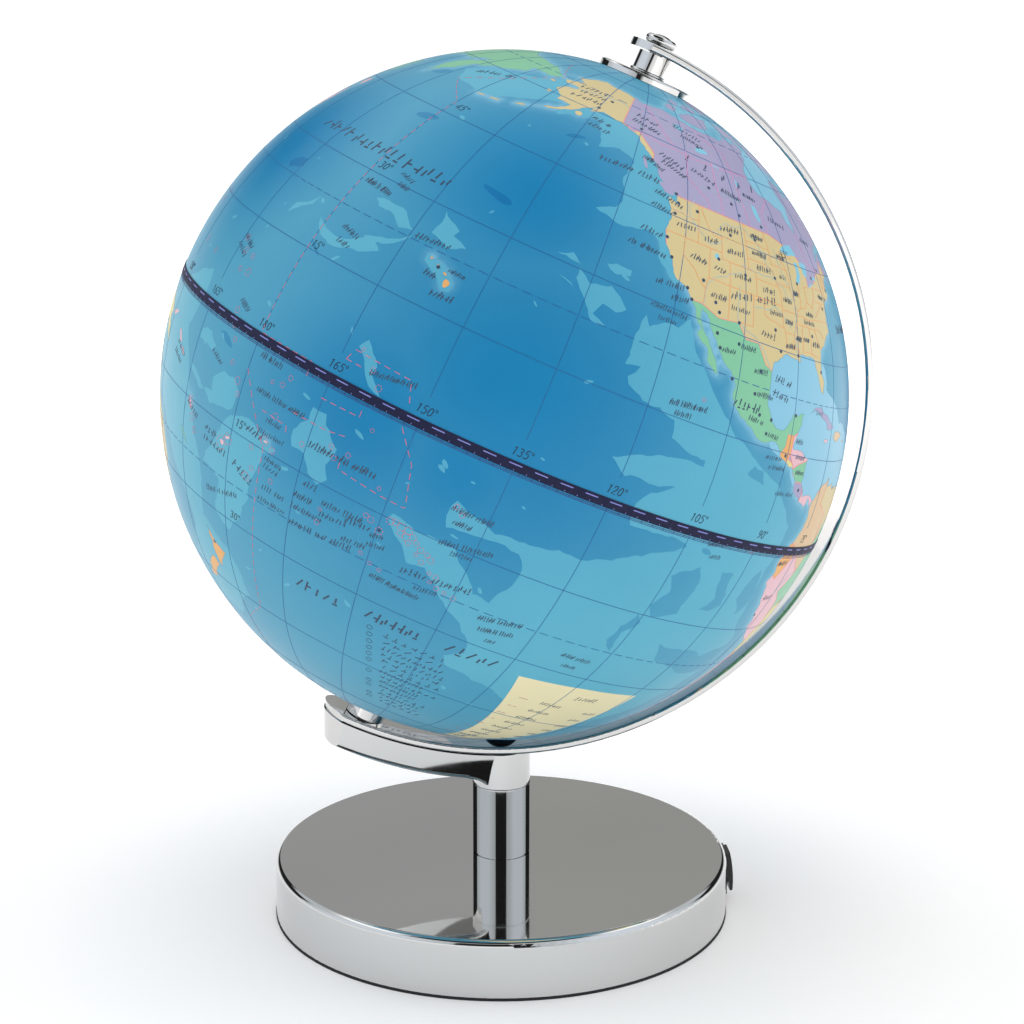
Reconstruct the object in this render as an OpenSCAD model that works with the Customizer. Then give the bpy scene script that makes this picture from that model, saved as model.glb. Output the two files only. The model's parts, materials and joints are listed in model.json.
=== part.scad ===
// Desktop globe on a polished stand, lit from inside.
// Origin: centre of the base on the surface that it stands on, +Z up.
// The arm stands in the XZ plane, and the globe's axis leans toward +X.

/* [Globe] */
// Diameter of the ball
ball_d = 200; // [190:1:210]
// Lean of the spin axis from the vertical, in degrees
axis_tilt = 23.5; // [22:0.5:26]
// Wall of the two moulded half shells
shell_wall = 1.6; // [1.2:0.1:2.2]
// Width of the printed tape that covers the joint at the equator
tape_w = 2.6; // [2:0.1:4]
// Diameter of the polished disc at the north pole
polar_disc_d = 27.4; // [24:0.2:32]

/* [Stand] */
// Diameter of the base cover
base_d = 138.4; // [132:0.2:146]
// Height of the base, with plate and foot pad
base_h = 17.6; // [17.4:0.1:18.4]
// Height of the ball's centre over the table
ball_z = 158.4; // [158:0.1:159]
// Diameter of the post
post_d = 17.4; // [16.8:0.2:18]

/* [Arm] */
// Width of the curved strip
arm_w = 16.2; // [15:0.2:17]
// Thickness of the curved strip
arm_t = 2.3; // [1.8:0.1:2.6]
// Inner radius of the curved strip
arm_r = 106.9; // [106.5:0.1:107.5]
// Depth of the cable channel below the strip
channel_h = 8.2; // [8:0.1:9]

/* [Switch] */
// Bearing of the rocker switch, from +X toward +Y, in degrees
switch_bearing = 3; // [0:1:10]
// Height of the rocker's paddle
rocker_h = 12.6; // [12:0.2:12.8]

/* [Hidden] */
$fn = 96;

// Clearances
run_gap = 0.05;   // radial, shaft in bush
face_gap = 0.2;   // axial, between turning faces
fit_gap = 0.15;   // between pieces that are fastened

// Ball
ball_r = ball_d / 2;
ball_x = 0.9;     // the ball's centre is this far toward the arm from the post
ball_in = ball_r - shell_wall;
lap_h = 4;        // inner lap that joins the two halves
pole_hole_r = 6.5;

// Arm: one arc, whose centre is shifted from the ball's centre
shift_side = -2.4;
shift_axis = 0.6;
arm_cx = ball_x + shift_side * cos(axis_tilt) + shift_axis * sin(axis_tilt);
arm_cz = ball_z - shift_side * sin(axis_tilt) + shift_axis * cos(axis_tilt);
arm_out = arm_r + arm_t;
arm_edge = 0.7;            // rounding of the strip's long edges
tongue = 8;                // the strip runs this far past the north axis
end_r = arm_w / 2 + 0.5;   // the strip's ends are arcs a little flatter than a half circle
south_end_x = -53.3;       // tip of the strip
north_in = shift_axis + sqrt(arm_r * arm_r - shift_side * shift_side);
north_out = shift_axis + sqrt(arm_out * arm_out - shift_side * shift_side);
south_in = north_in - 2 * shift_axis;
south_out = north_out - 2 * shift_axis;

// Channel bracket
channel_r = arm_out + channel_h;
channel_wall = 1.6;
channel_lip = 0.5;          // the channel stands this far proud of the strip
channel_edge = 2;
channel_half = arm_w / 2 + channel_lip;
draft = tan(4.5);           // the channel's sides draw in toward its floor
hub_d = post_d + 0.2;
hub_bottom = arm_cz - channel_r - 2.9;
hub_round = 0.3;
web_x = -9.8;               // where the web leaves the channel's floor
web_r = 7.4;
web_floor = arm_cz - sqrt(channel_r * channel_r - (web_x - arm_cx) * (web_x - arm_cx));

// Base
pad_h = 0.8;
pad_d = base_d + 0.3;
plate_h = 1.5;
cover_z = pad_h + plate_h;  // top of the plate, which sits inside the cover
cover_wall = 1.0;
cover_round = 1.8;
inner_top = base_h - cover_wall;
screw_ring = 58;
screw_angles = [45, 135, 225, 315];

// Tie tube through the post
tie_d = 10;
tie_bore = 6.6;
tie_top = hub_bottom + 4.4;
tie_bottom = 7;
nut_h = 4;
nut_flats = 14;

// Battery tray, behind the post
cell_d = 10.5;
cell_l = 44.5;
cells = 3;
cell_pitch = 11.2;
tray_y = 15;
tray_in_w = cells * cell_pitch;
tray_in_l = cell_l + 5;
tray_wall = 1.2;
tray_top = 14.6;
door_w = tray_in_w + 4;
door_l = tray_in_l + 10;
door_screw_x = door_l / 2 - 2.6;   // beyond the contact plates

// Switch
switch_w = 8.6;
switch_h = 12;
switch_z = 9.4;
rocker_w = 6.6;
rocker_swing = 10;
flange_t = 0.5;
switch_depth = 13;
pivot_in = 2.2;    // rocker pivot, behind the cover's outside face

// North bearing
pin_r = 2;
spacer_d = 9.6;
knob_d = 9.4;
disc_top = ball_r + 1.1;

// South bearing and lamp
axle_d = 8;
axle_bore = 5;
axle_low = south_out + 3.6;
bush_out = ball_r + 0.8;
collar_d = 12;
holder_d = 24;
lamp_z = -58;
diffuser_d = 30;

// Centre of the switch on the outside of the cover, local +X pointing outward
module at_switch() {
    rotate([0, 0, switch_bearing]) translate([base_d / 2, 0, switch_z]) children();
}

// Frame of the spin axis: origin at the ball's centre, +Z to the north pole
module on_axis() {
    translate([ball_x, 0, ball_z]) rotate([0, axis_tilt, 0]) children();
}

// Frame of the arm's arc: local +Z lies across the strip
module on_arc() {
    translate([arm_cx, 0, arm_cz]) rotate([90, 0, 0]) children();
}

module ring(outer_d, inner_d, h) {
    difference() {
        cylinder(d = outer_d, h = h);
        translate([0, 0, -1]) cylinder(d = inner_d, h = h + 2);
    }
}

module slab(size_x, size_y, h) {
    translate([-size_x / 2, -size_y / 2, 0]) cube([size_x, size_y, h]);
}

module at_screws() {
    for (a = screw_angles) rotate([0, 0, a]) translate([screw_ring, 0, 0]) children();
}

// ---- base ----

// Profile of the cover's skin: outside radius r, top at z, rounded rim
module cover_profile(r, z, rim) {
    translate([0, pad_h]) square([r - rim, z - pad_h]);
    translate([0, pad_h]) square([r, z - pad_h - rim]);
    translate([r - rim, z - rim]) circle(r = rim);
}

module base_cover() {
    color([0.80, 0.80, 0.80]) difference() {
        rotate_extrude($fn = 180) difference() {
            cover_profile(base_d / 2, base_h, cover_round);
            translate([0, -1]) square([base_d / 2 - cover_wall, cover_z + 1.5]);
            cover_profile(base_d / 2 - cover_wall, inner_top, cover_round - cover_wall);
        }
        translate([0, 0, inner_top - 1]) cylinder(d = tie_d + 0.3, h = 4);
        at_switch() translate([-4, -switch_w / 2, -switch_h / 2]) cube([8, switch_w, switch_h]);
    }
}

// Rectangle of the battery opening, seen from below
module battery_window(grow) {
    translate([-door_l / 2 - grow, tray_y - 2 - grow, 0])
        square([door_l + 2 * grow, door_w + 2 * grow]);
}

module base_plate() {
    color([0.05, 0.05, 0.05]) difference() {
        translate([0, 0, pad_h]) cylinder(d = base_d - 2 * (cover_wall + fit_gap), h = plate_h, $fn = 180);
        linear_extrude(height = 8) battery_window(fit_gap);
        at_screws() translate([0, 0, -1]) cylinder(d = 3.3, h = 6, $fn = 32);
        cylinder(d = 18.4, h = 8);
    }
}

module foot_pad() {
    color([0.10, 0.10, 0.11]) difference() {
        cylinder(d = pad_d, h = pad_h, $fn = 180);
        translate([0, 0, -1]) linear_extrude(height = 4) battery_window(2);
        at_screws() translate([0, 0, -1]) cylinder(d = 7, h = 4, $fn = 48);
    }
}

// Steel half-moon in front of the post, which keeps the tilted ball steady
module ballast_plate() {
    color([0.45, 0.45, 0.47]) difference() {
        translate([0, 0, cover_z]) cylinder(d = base_d - 2 * cover_wall - 1, h = 6, $fn = 180);
        translate([-base_d, -12, 0]) cube([2 * base_d, base_d, 20]);
        at_screws() cylinder(d = 9, h = 20, $fn = 48);
    }
}

// Threaded posts welded under the cover
module cover_posts() {
    color([0.55, 0.55, 0.57]) at_screws() translate([0, 0, cover_z]) ring(6, 3, inner_top - cover_z);
}

// Screws that draw the plate up to the posts
module base_screws() {
    head_z = 0.2;
    color([0.55, 0.55, 0.57]) at_screws() difference() {
        union() {
            translate([0, 0, head_z]) cylinder(d = 5.6, h = pad_h - head_z, $fn = 48);
            translate([0, 0, head_z]) cylinder(d = 3, h = 9, $fn = 48);
        }
        translate([-2, -0.4, 0]) cube([4, 0.8, head_z + 0.4]);
        translate([-0.4, -2, 0]) cube([0.8, 4, head_z + 0.4]);
    }
}

// ---- battery box ----

tray_mid = tray_y - 2 + door_w / 2;
contact_t = 0.5;
cell_shift = tray_in_l / 2 - 0.2 - contact_t - cell_l / 2;   // each cell's plus end meets its plate
spring_l = 2 * cell_shift;

module battery_tray() {
    color([0.08, 0.08, 0.08]) translate([0, tray_mid, 0]) difference() {
        translate([0, 0, cover_z]) slab(door_l + 2 * tray_wall, door_w + 2 * tray_wall, tray_top - cover_z);
        translate([0, 0, cover_z - 1]) slab(tray_in_l, tray_in_w, tray_top - tray_wall - cover_z + 1);
        translate([0, 0, cover_z - 1]) slab(door_l + 2 * fit_gap, door_w + 2 * fit_gap, 1.3);
        translate([door_screw_x, 0, cover_z - 1]) cylinder(d = 2.2, h = 6, $fn = 32);
    }
}

module battery_cells() {
    for (i = [0 : cells - 1])
        translate([0, tray_mid + (i - (cells - 1) / 2) * cell_pitch, cover_z + 0.4 + cell_d / 2])
            rotate([0, i % 2 == 0 ? 90 : -90, 0]) translate([0, 0, cell_shift]) {
                color([0.16, 0.16, 0.18]) translate([0, 0, -cell_l / 2]) cylinder(d = cell_d, h = cell_l - 1.2);
                color([0.75, 0.75, 0.75]) translate([0, 0, cell_l / 2 - 1.2]) cylinder(d = 3.8, h = 1.2);
            }
}

// A flat plate at each end of the tray, and a conical spring at each minus end
module battery_contacts() {
    for (i = [0 : cells - 1])
        translate([0, tray_mid + (i - (cells - 1) / 2) * cell_pitch, cover_z + 0.4 + cell_d / 2])
            rotate([0, 0, i % 2 == 0 ? 0 : 180]) color([0.72, 0.70, 0.62]) {
                for (s = [-1, 1])
                    translate([s * (tray_in_l / 2 - 0.2 - contact_t / 2), 0, -4]) slab(contact_t, 9, 8);
                translate([contact_t + 0.2 - tray_in_l / 2, 0, 0]) tube_along(contact_spring(), spring_wire / 2, [1, 0, 0]);
            }
}

spring_wire = 0.6;
spring_turns = 3;
spring_steps = 10;
function contact_spring() = [for (k = [0 : spring_turns * spring_steps])
    let (u = k / (spring_turns * spring_steps), a = 360 * k / spring_steps, r = 3.8 - 1.6 * u)
    [spring_wire / 2 + 0.05 + (spring_l - spring_wire - 0.1) * u, r * cos(a), r * sin(a)]];

module battery_door() {
    color([0.05, 0.05, 0.05]) difference() {
        translate([0, tray_mid, pad_h]) slab(door_l, door_w, plate_h);
        translate([door_screw_x, tray_mid, 0]) cylinder(d = 2.4, h = 6, $fn = 32);
        translate([-door_l / 2 + 4, tray_mid, pad_h - 1]) for (k = [0 : 3])
            translate([k * 1.6, 0, 0]) slab(0.8, 12, 1.4);
    }
}

module battery_door_screw() {
    color([0.55, 0.55, 0.57]) translate([door_screw_x, tray_mid, 0]) difference() {
        union() {
            translate([0, 0, pad_h - 0.7]) cylinder(d = 4, h = 0.65, $fn = 48);
            translate([0, 0, pad_h - 0.2]) cylinder(d = 2, h = 4.2, $fn = 32);
        }
        translate([-1.4, -0.3, 0]) cube([2.8, 0.6, pad_h - 0.3]);
    }
}

// ---- switch ----

pivot_x = -pivot_in;
stem_r = 4.6;      // round stem about the pivot
paddle_in = 1.16;  // underside of the paddle, clear of the flange at both ends of the swing
paddle_out = 2.5;
paddle_r = 40;     // crown of the paddle

module switch_housing() {
    color([0.06, 0.06, 0.06]) at_switch() difference() {
        union() {
            translate([0.02, -switch_w / 2 - 0.4, -switch_h / 2 - 0.6])
                cube([flange_t, switch_w + 0.8, switch_h + 1.2]);
            translate([-switch_depth, -switch_w / 2 + 0.1, -switch_h / 2 + 0.1])
                cube([switch_depth + 0.5, switch_w - 0.2, switch_h - 0.2]);
        }
        translate([-6.4, -rocker_w / 2 - 0.25, -stem_r - 0.2]) cube([9, rocker_w + 0.5, 2 * stem_r + 0.4]);
        translate([pivot_x, 0, 0]) rotate([90, 0, 0]) cylinder(d = 2 + 2 * run_gap, h = rocker_w + 1.4, center = true);
    }
}

module switch_terminals() {
    color([0.80, 0.66, 0.35]) at_switch() for (z = [-3, 3])
        translate([-switch_depth - 4.5, -1.2, z - 0.25]) cube([4.5, 2.4, 0.5]);
}

// Rocker with a crowned paddle over the flange, at rest with its upper end pressed in
module switch_rocker() {
    color([0.04, 0.04, 0.04]) at_switch() translate([pivot_x, 0, 0]) rotate([0, -rocker_swing / 2, 0]) {
        translate([0, rocker_w / 2, 0]) rotate([90, 0, 0]) linear_extrude(height = rocker_w) {
            intersection() {
                circle(r = stem_r);
                translate([-1.8, -rocker_h]) square([8, 2 * rocker_h]);
            }
            intersection() {
                translate([pivot_in + paddle_out - paddle_r, 0]) circle(r = paddle_r, $fn = 360);
                translate([pivot_in + paddle_in, -rocker_h / 2]) square([4, rocker_h]);
            }
        }
        rotate([90, 0, 0]) cylinder(d = 2, h = rocker_w + 1.1, center = true);
    }
}

// ---- post ----

// Tube with a small step at its foot
module post() {
    step = 0.35;
    color([0.80, 0.80, 0.82]) translate([0, 0, base_h]) difference() {
        ring(post_d, post_d - 2.4, hub_bottom - base_h);
        translate([0, 0, -1]) ring(post_d + 2, post_d - 2 * step, 1 + step);
    }
}

module post_tie_tube() {
    color([0.60, 0.60, 0.58]) translate([0, 0, tie_bottom]) ring(tie_d, tie_bore, tie_top - tie_bottom);
}

module post_washer() {
    color([0.60, 0.60, 0.58]) translate([0, 0, inner_top - 1.2]) ring(22, tie_d + 0.4, 1.2);
}

module post_nut() {
    color([0.60, 0.60, 0.58]) translate([0, 0, inner_top - 1.2 - nut_h]) difference() {
        cylinder(d = nut_flats / cos(30), h = nut_h, $fn = 6);
        translate([0, 0, -1]) cylinder(d = tie_d, h = nut_h + 2);
    }
}

// ---- arm ----

// Outline of the channel in plan: half its width, and the radius of its end
module channel_plan(half, round_r) {
    end_x = south_end_x + end_r;
    translate([end_x, -half]) square([-end_x, 2 * half]);
    intersection() {
        translate([end_x, 0]) circle(r = round_r);
        translate([end_x - round_r, -half]) square([2 * round_r, 2 * half]);
    }
}

// Section of the channel's body: drafted sides and rounded lower edges
module channel_section() {
    edge_x = channel_r - channel_edge;
    edge_y = channel_half - (edge_x - arm_out) * draft - channel_edge * sqrt(1 + draft * draft);
    a = atan(draft);
    side = [edge_x + channel_edge * sin(a), edge_y + channel_edge * cos(a)];
    polygon([
        [arm_out, -channel_half], [arm_out, channel_half], side, [edge_x, edge_y], [channel_r, edge_y],
        [channel_r, -edge_y], [edge_x, -edge_y], [side[0], -side[1]]
    ]);
    for (s = [-1, 1]) translate([edge_x, s * edge_y]) circle(r = channel_edge, $fn = 96);
}

module hub() {
    rotate_extrude() {
        translate([0, hub_bottom]) square([hub_d / 2 - hub_round, 14]);
        translate([0, hub_bottom + hub_round]) square([hub_d / 2, 14 - hub_round]);
        translate([hub_d / 2 - hub_round, hub_bottom + hub_round]) circle(r = hub_round, $fn = 64);
    }
}

// Web that sweeps from the channel's floor down to the hub, drafted and rounded like the channel
module web() {
    strip_z = arm_cz - arm_out;
    top_z = web_floor + 3;
    top_half = channel_half - (strip_z - top_z) * draft;
    low_half = channel_half - (strip_z - hub_bottom) * draft;
    web_edge = 1.4;
    edge_y = channel_half - channel_h * draft - web_edge;
    difference() {
        translate([web_x, 0, 0]) rotate([90, 0, 90]) linear_extrude(height = -web_x - 2)
            polygon([[-low_half, hub_bottom], [low_half, hub_bottom], [top_half, top_z], [-top_half, top_z]]);
        translate([web_x, 0, web_floor - web_r - 0.1]) rotate([90, 0, 0]) {
            cylinder(r = web_r, h = 40, center = true, $fn = 180);
            for (s = [0, 180]) rotate([s, 0, 0]) rotate_extrude($fn = 180) difference() {
                translate([0, edge_y]) square([web_r + web_edge, 10]);
                translate([web_r + web_edge, edge_y]) circle(r = web_edge, $fn = 96);
            }
        }
    }
}

module arm_bracket() {
    color([0.80, 0.80, 0.80]) difference() {
        union() {
            intersection() {
                on_arc() rotate_extrude($fn = 360) channel_section();
                translate([0, 0, 20]) linear_extrude(height = 60)
                    channel_plan(channel_half + 1, end_r + channel_lip);
            }
            hub();
            web();
        }
        on_arc() translate([0, 0, -20]) cylinder(r = arm_out, h = 40, $fn = 360);
        // wire space under the strip
        intersection() {
            on_arc() translate([0, 0, -20]) cylinder(r = channel_r - channel_wall, h = 40, $fn = 360);
            translate([0, 0, 20]) linear_extrude(height = 60)
                channel_plan(arm_w / 2 - channel_wall, end_r - channel_wall);
            translate([-100, -10, 0]) cube([94, 20, 100]);
        }
        // way from the tie tube to the channel, under the screw's boss
        translate([-9, -tie_bore / 2, tie_top]) cube([9, tie_bore, 2.9]);
        translate([0, 0, tie_top - 0.5]) cylinder(d = tie_bore, h = 3.4);
        translate([0, 0, hub_bottom - 1]) cylinder(d = tie_d, h = tie_top - hub_bottom + 1);
        cylinder(d = 4, h = 60);
    }
}

module arm_section() {
    translate([arm_r, -arm_w / 2 + arm_edge]) square([arm_t, arm_w - 2 * arm_edge]);
    translate([arm_r + arm_edge, -arm_w / 2]) square([arm_t - 2 * arm_edge, arm_w]);
    for (r = [arm_r + arm_edge, arm_out - arm_edge], s = [-1, 1])
        translate([r, s * (arm_w / 2 - arm_edge)]) circle(r = arm_edge, $fn = 48);
}

// What a round end leaves of a square one: everything past the end's centre, outside its radius
module round_end_cut() {
    difference() {
        translate([0, -20, -20]) cube([30, 40, 40]);
        translate([0, 0, -30]) cylinder(r = end_r, h = 60);
    }
}

module meridian_arm() {
    past_ends = 2;
    south_turn = 90 + asin((arm_cx - south_end_x) / arm_out) + past_ends;
    north_turn = 90 - axis_tilt + asin((tongue + shift_side) / arm_r) + past_ends;
    color([0.82, 0.82, 0.84]) difference() {
        on_arc() rotate([0, 0, -south_turn])
            rotate_extrude(angle = south_turn + north_turn, $fn = 180) arm_section();
        translate([south_end_x + end_r, 0, ball_z - ball_r]) rotate([0, 0, 180]) round_end_cut();
        on_axis() translate([end_r - tongue, 0, north_in]) rotate([0, 0, 180]) round_end_cut();
        cylinder(d = 4.2, h = 70);
        on_axis() translate([0, 0, -ball_r - 20]) cylinder(d = axle_d, h = 20);
        on_axis() translate([0, 0, ball_r]) cylinder(r = pin_r, h = 20);
    }
}

// Low domed head on the strip's inner face, over the post
module arm_screw() {
    head_z = arm_cz - arm_r;
    color([0.12, 0.12, 0.12]) difference() {
        union() {
            translate([0, 0, head_z + 0.1]) rotate_extrude() intersection() {
                translate([0, -4.3]) circle(r = 6.4, $fn = 128);
                square([4.7, 3]);
            }
            translate([0, 0, head_z - 5.6]) cylinder(d = 3.9, h = 6);
        }
        translate([-1.8, -0.45, head_z + 1.3]) cube([3.6, 0.9, 2]);
        translate([-0.45, -1.8, head_z + 1.3]) cube([0.9, 3.6, 2]);
    }
}

// ---- south bearing and lamp ----

module south_collar() {
    color([0.82, 0.82, 0.82]) on_axis()
        translate([0, 0, -south_in + 0.3]) ring(collar_d, axle_d, south_in - bush_out - face_gap - 0.3);
}

module south_axle_tube() {
    color([0.60, 0.60, 0.58]) on_axis()
        translate([0, 0, -axle_low]) ring(axle_d, axle_bore, axle_low + lamp_z - 2);
}

module south_nut() {
    color([0.60, 0.60, 0.58]) on_axis() translate([0, 0, -south_out - 3.4]) difference() {
        cylinder(d = 13, h = 3.1, $fn = 6);
        translate([0, 0, -1]) cylinder(d = axle_d, h = 6);
    }
}

module lamp_holder() {
    color([0.92, 0.92, 0.90]) on_axis() translate([0, 0, lamp_z]) difference() {
        union() {
            translate([0, 0, -16]) cylinder(d = 13, h = 14);
            translate([0, 0, -4]) cylinder(d = holder_d, h = 8);
        }
        translate([0, 0, -17]) cylinder(d = axle_d, h = 15);
        translate([0, 0, -5]) cylinder(d = axle_bore, h = 10);
        translate([0, 0, 1]) cylinder(d = holder_d - 3, h = 8);
    }
}

module led_board() {
    color([0.90, 0.90, 0.90]) on_axis() translate([0, 0, lamp_z + 4]) ring(holder_d - 0.6, 3.6, 1);
}

module led_chips() {
    color([1.0, 0.90, 0.55]) on_axis() for (a = [0 : 60 : 300])
        rotate([0, 0, a]) translate([7.5, 0, lamp_z + 5]) slab(3.5, 2.8, 1);
}

module lamp_diffuser() {
    color([0.97, 0.97, 0.95]) on_axis() translate([0, 0, lamp_z]) rotate_extrude() difference() {
        union() {
            translate([0, -3]) square([diffuser_d / 2, 11]);
            translate([0, 8]) circle(r = diffuser_d / 2);
        }
        translate([-40, -40]) square([40, 80]);
        translate([0, -40]) square([holder_d / 2 + fit_gap, 46]);
        translate([0, 8]) circle(r = diffuser_d / 2 - 1.2);
        translate([0, -40]) square([diffuser_d / 2 - 1.2, 40]);
    }
}

// ---- wires ----

lead_d = 1.2;
lead_sides = 8;

// Points of a Catmull-Rom curve through the route's own points
function at(p, i) = p[max(0, min(len(p) - 1, i))];
function spline(p, steps) = [
    for (i = [0 : len(p) - 2], s = [0 : steps - 1])
        let (t = s / steps, a = at(p, i - 1), b = at(p, i), c = at(p, i + 1), d = at(p, i + 2))
        0.5 * (2 * b + (c - a) * t + (2 * a - 5 * b + 4 * c - d) * t * t + (3 * b - a - 3 * c + d) * t * t * t),
    p[len(p) - 1]
];
function unit(v) = v / norm(v);
function tangent(p, i) = unit(at(p, i + 1) - at(p, i - 1));

// Round tube of radius r; across is a direction that the points never run along
module tube_along(points, r, across) {
    n = len(points);
    rings = [for (i = [0 : n - 1]) let (t = tangent(points, i), u = unit(cross(t, across)), v = cross(t, u))
        for (k = [0 : lead_sides - 1]) let (a = 360 * k / lead_sides) points[i] + r * (cos(a) * u + sin(a) * v)];
    faces = [
        [for (k = [0 : lead_sides - 1]) k],
        [for (k = [lead_sides - 1 : -1 : 0]) (n - 1) * lead_sides + k],
        for (i = [0 : n - 2], k = [0 : lead_sides - 1])
            let (a = i * lead_sides + k, b = i * lead_sides + (k + 1) % lead_sides)
            each [[a, b + lead_sides, b], [a, a + lead_sides, b + lead_sides]]
    ];
    polyhedron(points = rings, faces = faces, convexity = 10);
}

// A point given in the spin axis' frame
function axis_point(x, y, z) = [
    ball_x + x * cos(axis_tilt) + z * sin(axis_tilt),
    y,
    ball_z - x * sin(axis_tilt) + z * cos(axis_tilt)
];
// A point under the strip at radius r and angle a past straight down, toward the south end
function channel_point(r, a, y) = [arm_cx - r * sin(a), y, arm_cz - r * cos(a)];

lead_y = 1.2;                    // half the distance between the two leads
lead_channel_r = arm_out + 4.8;
lead_rise_z = tie_top + 1.6;

// Black lead, from the battery box; red lead, from the switch
black_start = [[-12, 11.1, 6], [-10, 8, 4.2], [-3, 3.2, 3.6]];
red_start = [[50.3, 2.2, 11.2], [38, 5, 8], [22, 6.5, 4.6], [9, 6, 3.8], [3, 3.6, 3.8]];

// Both leads then run side by side, s = -1 or 1, up the tie tube, along the channel and into the ball
function lamp_route(s) = concat(s > 0 ? red_start : black_start, [
    [0, s * lead_y, 8], [0, s * lead_y, 24], [0, s * lead_y, tie_top - 4], [-0.8, s * lead_y, tie_top - 0.6],
    [-3.4, s * lead_y, lead_rise_z], [-7.5, s * lead_y, lead_rise_z + 0.1],
    channel_point(lead_channel_r, 9, s * lead_y), channel_point(lead_channel_r, 17, s * lead_y),
    axis_point(3.6, s * lead_y, -south_out - 5), axis_point(0.9, s * lead_y, -south_out - 4),
    axis_point(0, s * lead_y, -south_out), axis_point(0, s * lead_y, -80),
    axis_point(0, s * lead_y, lamp_z - 4), axis_point(0.6, s * lead_y, lamp_z + 1), axis_point(3, s * lead_y, lamp_z + 3)
]);

module lamp_leads() {
    for (s = [-1, 1]) color(s > 0 ? [0.75, 0.10, 0.08] : [0.06, 0.06, 0.06])
        tube_along(spline(lamp_route(s), 4), lead_d / 2, [0, 1, 0]);
}

// Red lead from the battery box to the switch's lower terminal
module switch_lead() {
    color([0.75, 0.10, 0.08])
        tube_along(spline([[31.7, 30, 9], [37, 26, 8.6], [44, 14, 8], [51.5, 3, 7.4]], 6), lead_d / 2, [0, 0, 1]);
}

// ---- north bearing ----

module north_knob() {
    color([0.82, 0.82, 0.84]) on_axis() translate([0, 0, north_out + 0.2]) rotate_extrude() difference() {
        union() {
            square([knob_d / 2 - 1.3, 2.6]);
            translate([knob_d / 2 - 1.3, 1.3]) circle(r = 1.3, $fn = 64);
            intersection() {
                translate([0, -3.4]) circle(r = 6.6, $fn = 128);
                square([knob_d / 2 - 1.2, 4]);
            }
        }
        translate([-10, -10]) square([10, 20]);
        square([pin_r, 1.6]);
    }
}

module north_pin() {
    color([0.60, 0.60, 0.62]) on_axis() translate([0, 0, ball_r - 9]) cylinder(r = pin_r, h = north_out + 1.8 - ball_r + 9);
}

module north_spacer() {
    low = disc_top + face_gap;
    color([0.82, 0.82, 0.84]) on_axis() rotate_extrude() difference() {
        union() {
            translate([0, low]) square([spacer_d / 2, north_in - 0.2 - low]);
            translate([0, low]) square([spacer_d / 2 + 0.2, 0.9]);
            translate([spacer_d / 2 + 0.1, low + 0.45]) circle(r = 0.45, $fn = 48);
        }
        translate([-20, 0]) square([20, 200]);
        translate([0, 0]) square([pin_r, 200]);
    }
}

// ---- turning ball ----

module half_shell_profile(sign) {
    intersection() {
        difference() {
            circle(r = ball_r, $fn = 360);
            circle(r = ball_in, $fn = 360);
        }
        translate([pole_hole_r, sign > 0 ? 0 : -ball_r]) square([ball_r, ball_r]);
    }
}

module ball_north() {
    color([0.20, 0.50, 0.72]) on_axis() rotate_extrude($fn = 360) half_shell_profile(1);
}

module ball_south() {
    color([0.20, 0.50, 0.72]) on_axis() rotate_extrude($fn = 360) {
        half_shell_profile(-1);
        translate([ball_in - 1.3, -lap_h]) square([1.2, 2 * lap_h]);
        translate([ball_in - 1.3, -lap_h]) square([1.7, lap_h - 0.5]);
    }
}

module equator_tape() {
    color([0.07, 0.10, 0.35]) on_axis() translate([0, 0, -tape_w / 2]) difference() {
        cylinder(r = ball_r + 0.12, h = tape_w, $fn = 360);
        translate([0, 0, -1]) cylinder(r = ball_r + 0.01, h = tape_w + 2, $fn = 360);
    }
}

module polar_disc() {
    rim = 0.75;
    rim_r = polar_disc_d / 2 - rim;
    color([0.82, 0.82, 0.84]) on_axis() rotate_extrude() difference() {
        union() {
            translate([pin_r + run_gap, ball_r - 3]) square([rim_r - pin_r - run_gap, disc_top - ball_r + 3]);
            translate([rim_r, disc_top - rim]) circle(r = rim, $fn = 48);
            translate([rim_r, ball_r - 1.2]) square([rim, disc_top - rim - ball_r + 1.2]);
        }
        circle(r = ball_r + 0.02, $fn = 360);
    }
}

// Flanged plastic bush, pressed into a shell's pole hole from inside
module bush(bore_r, sign) {
    rotate_extrude() {
        translate([bore_r, sign > 0 ? ball_in - 7 : -bush_out])
            square([pole_hole_r - 0.02 - bore_r, sign > 0 ? 8.2 : 9.2]);
        translate([bore_r, sign > 0 ? ball_in - 4 : -ball_in + 0.7])
            square([pole_hole_r + 4 - bore_r, 3]);
    }
}

module north_bush() {
    color([0.93, 0.93, 0.90]) on_axis() bush(pin_r + run_gap, 1);
}

module south_bush() {
    color([0.93, 0.93, 0.90]) on_axis() bush(axle_d / 2 + run_gap, -1);
}

base_cover();
cover_posts();
base_plate();
foot_pad();
ballast_plate();
base_screws();
battery_tray();
battery_cells();
battery_contacts();
battery_door();
battery_door_screw();
switch_housing();
switch_terminals();
switch_rocker();
post();
post_tie_tube();
post_washer();
post_nut();
arm_bracket();
meridian_arm();
arm_screw();
south_collar();
south_axle_tube();
south_nut();
lamp_holder();
led_board();
led_chips();
lamp_diffuser();
lamp_leads();
switch_lead();
north_knob();
north_pin();
north_spacer();
ball_north();
ball_south();
equator_tape();
polar_disc();
north_bush();
south_bush();
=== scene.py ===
"""Looks of the desktop globe: the printed map, the finishes of every part, and the studio."""
import json
import math
import random

import bpy
import numpy as np
from mathutils import Matrix, Vector
from mathutils.geometry import delaunay_2d_cdt
from mathutils.kdtree import KDTree


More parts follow.
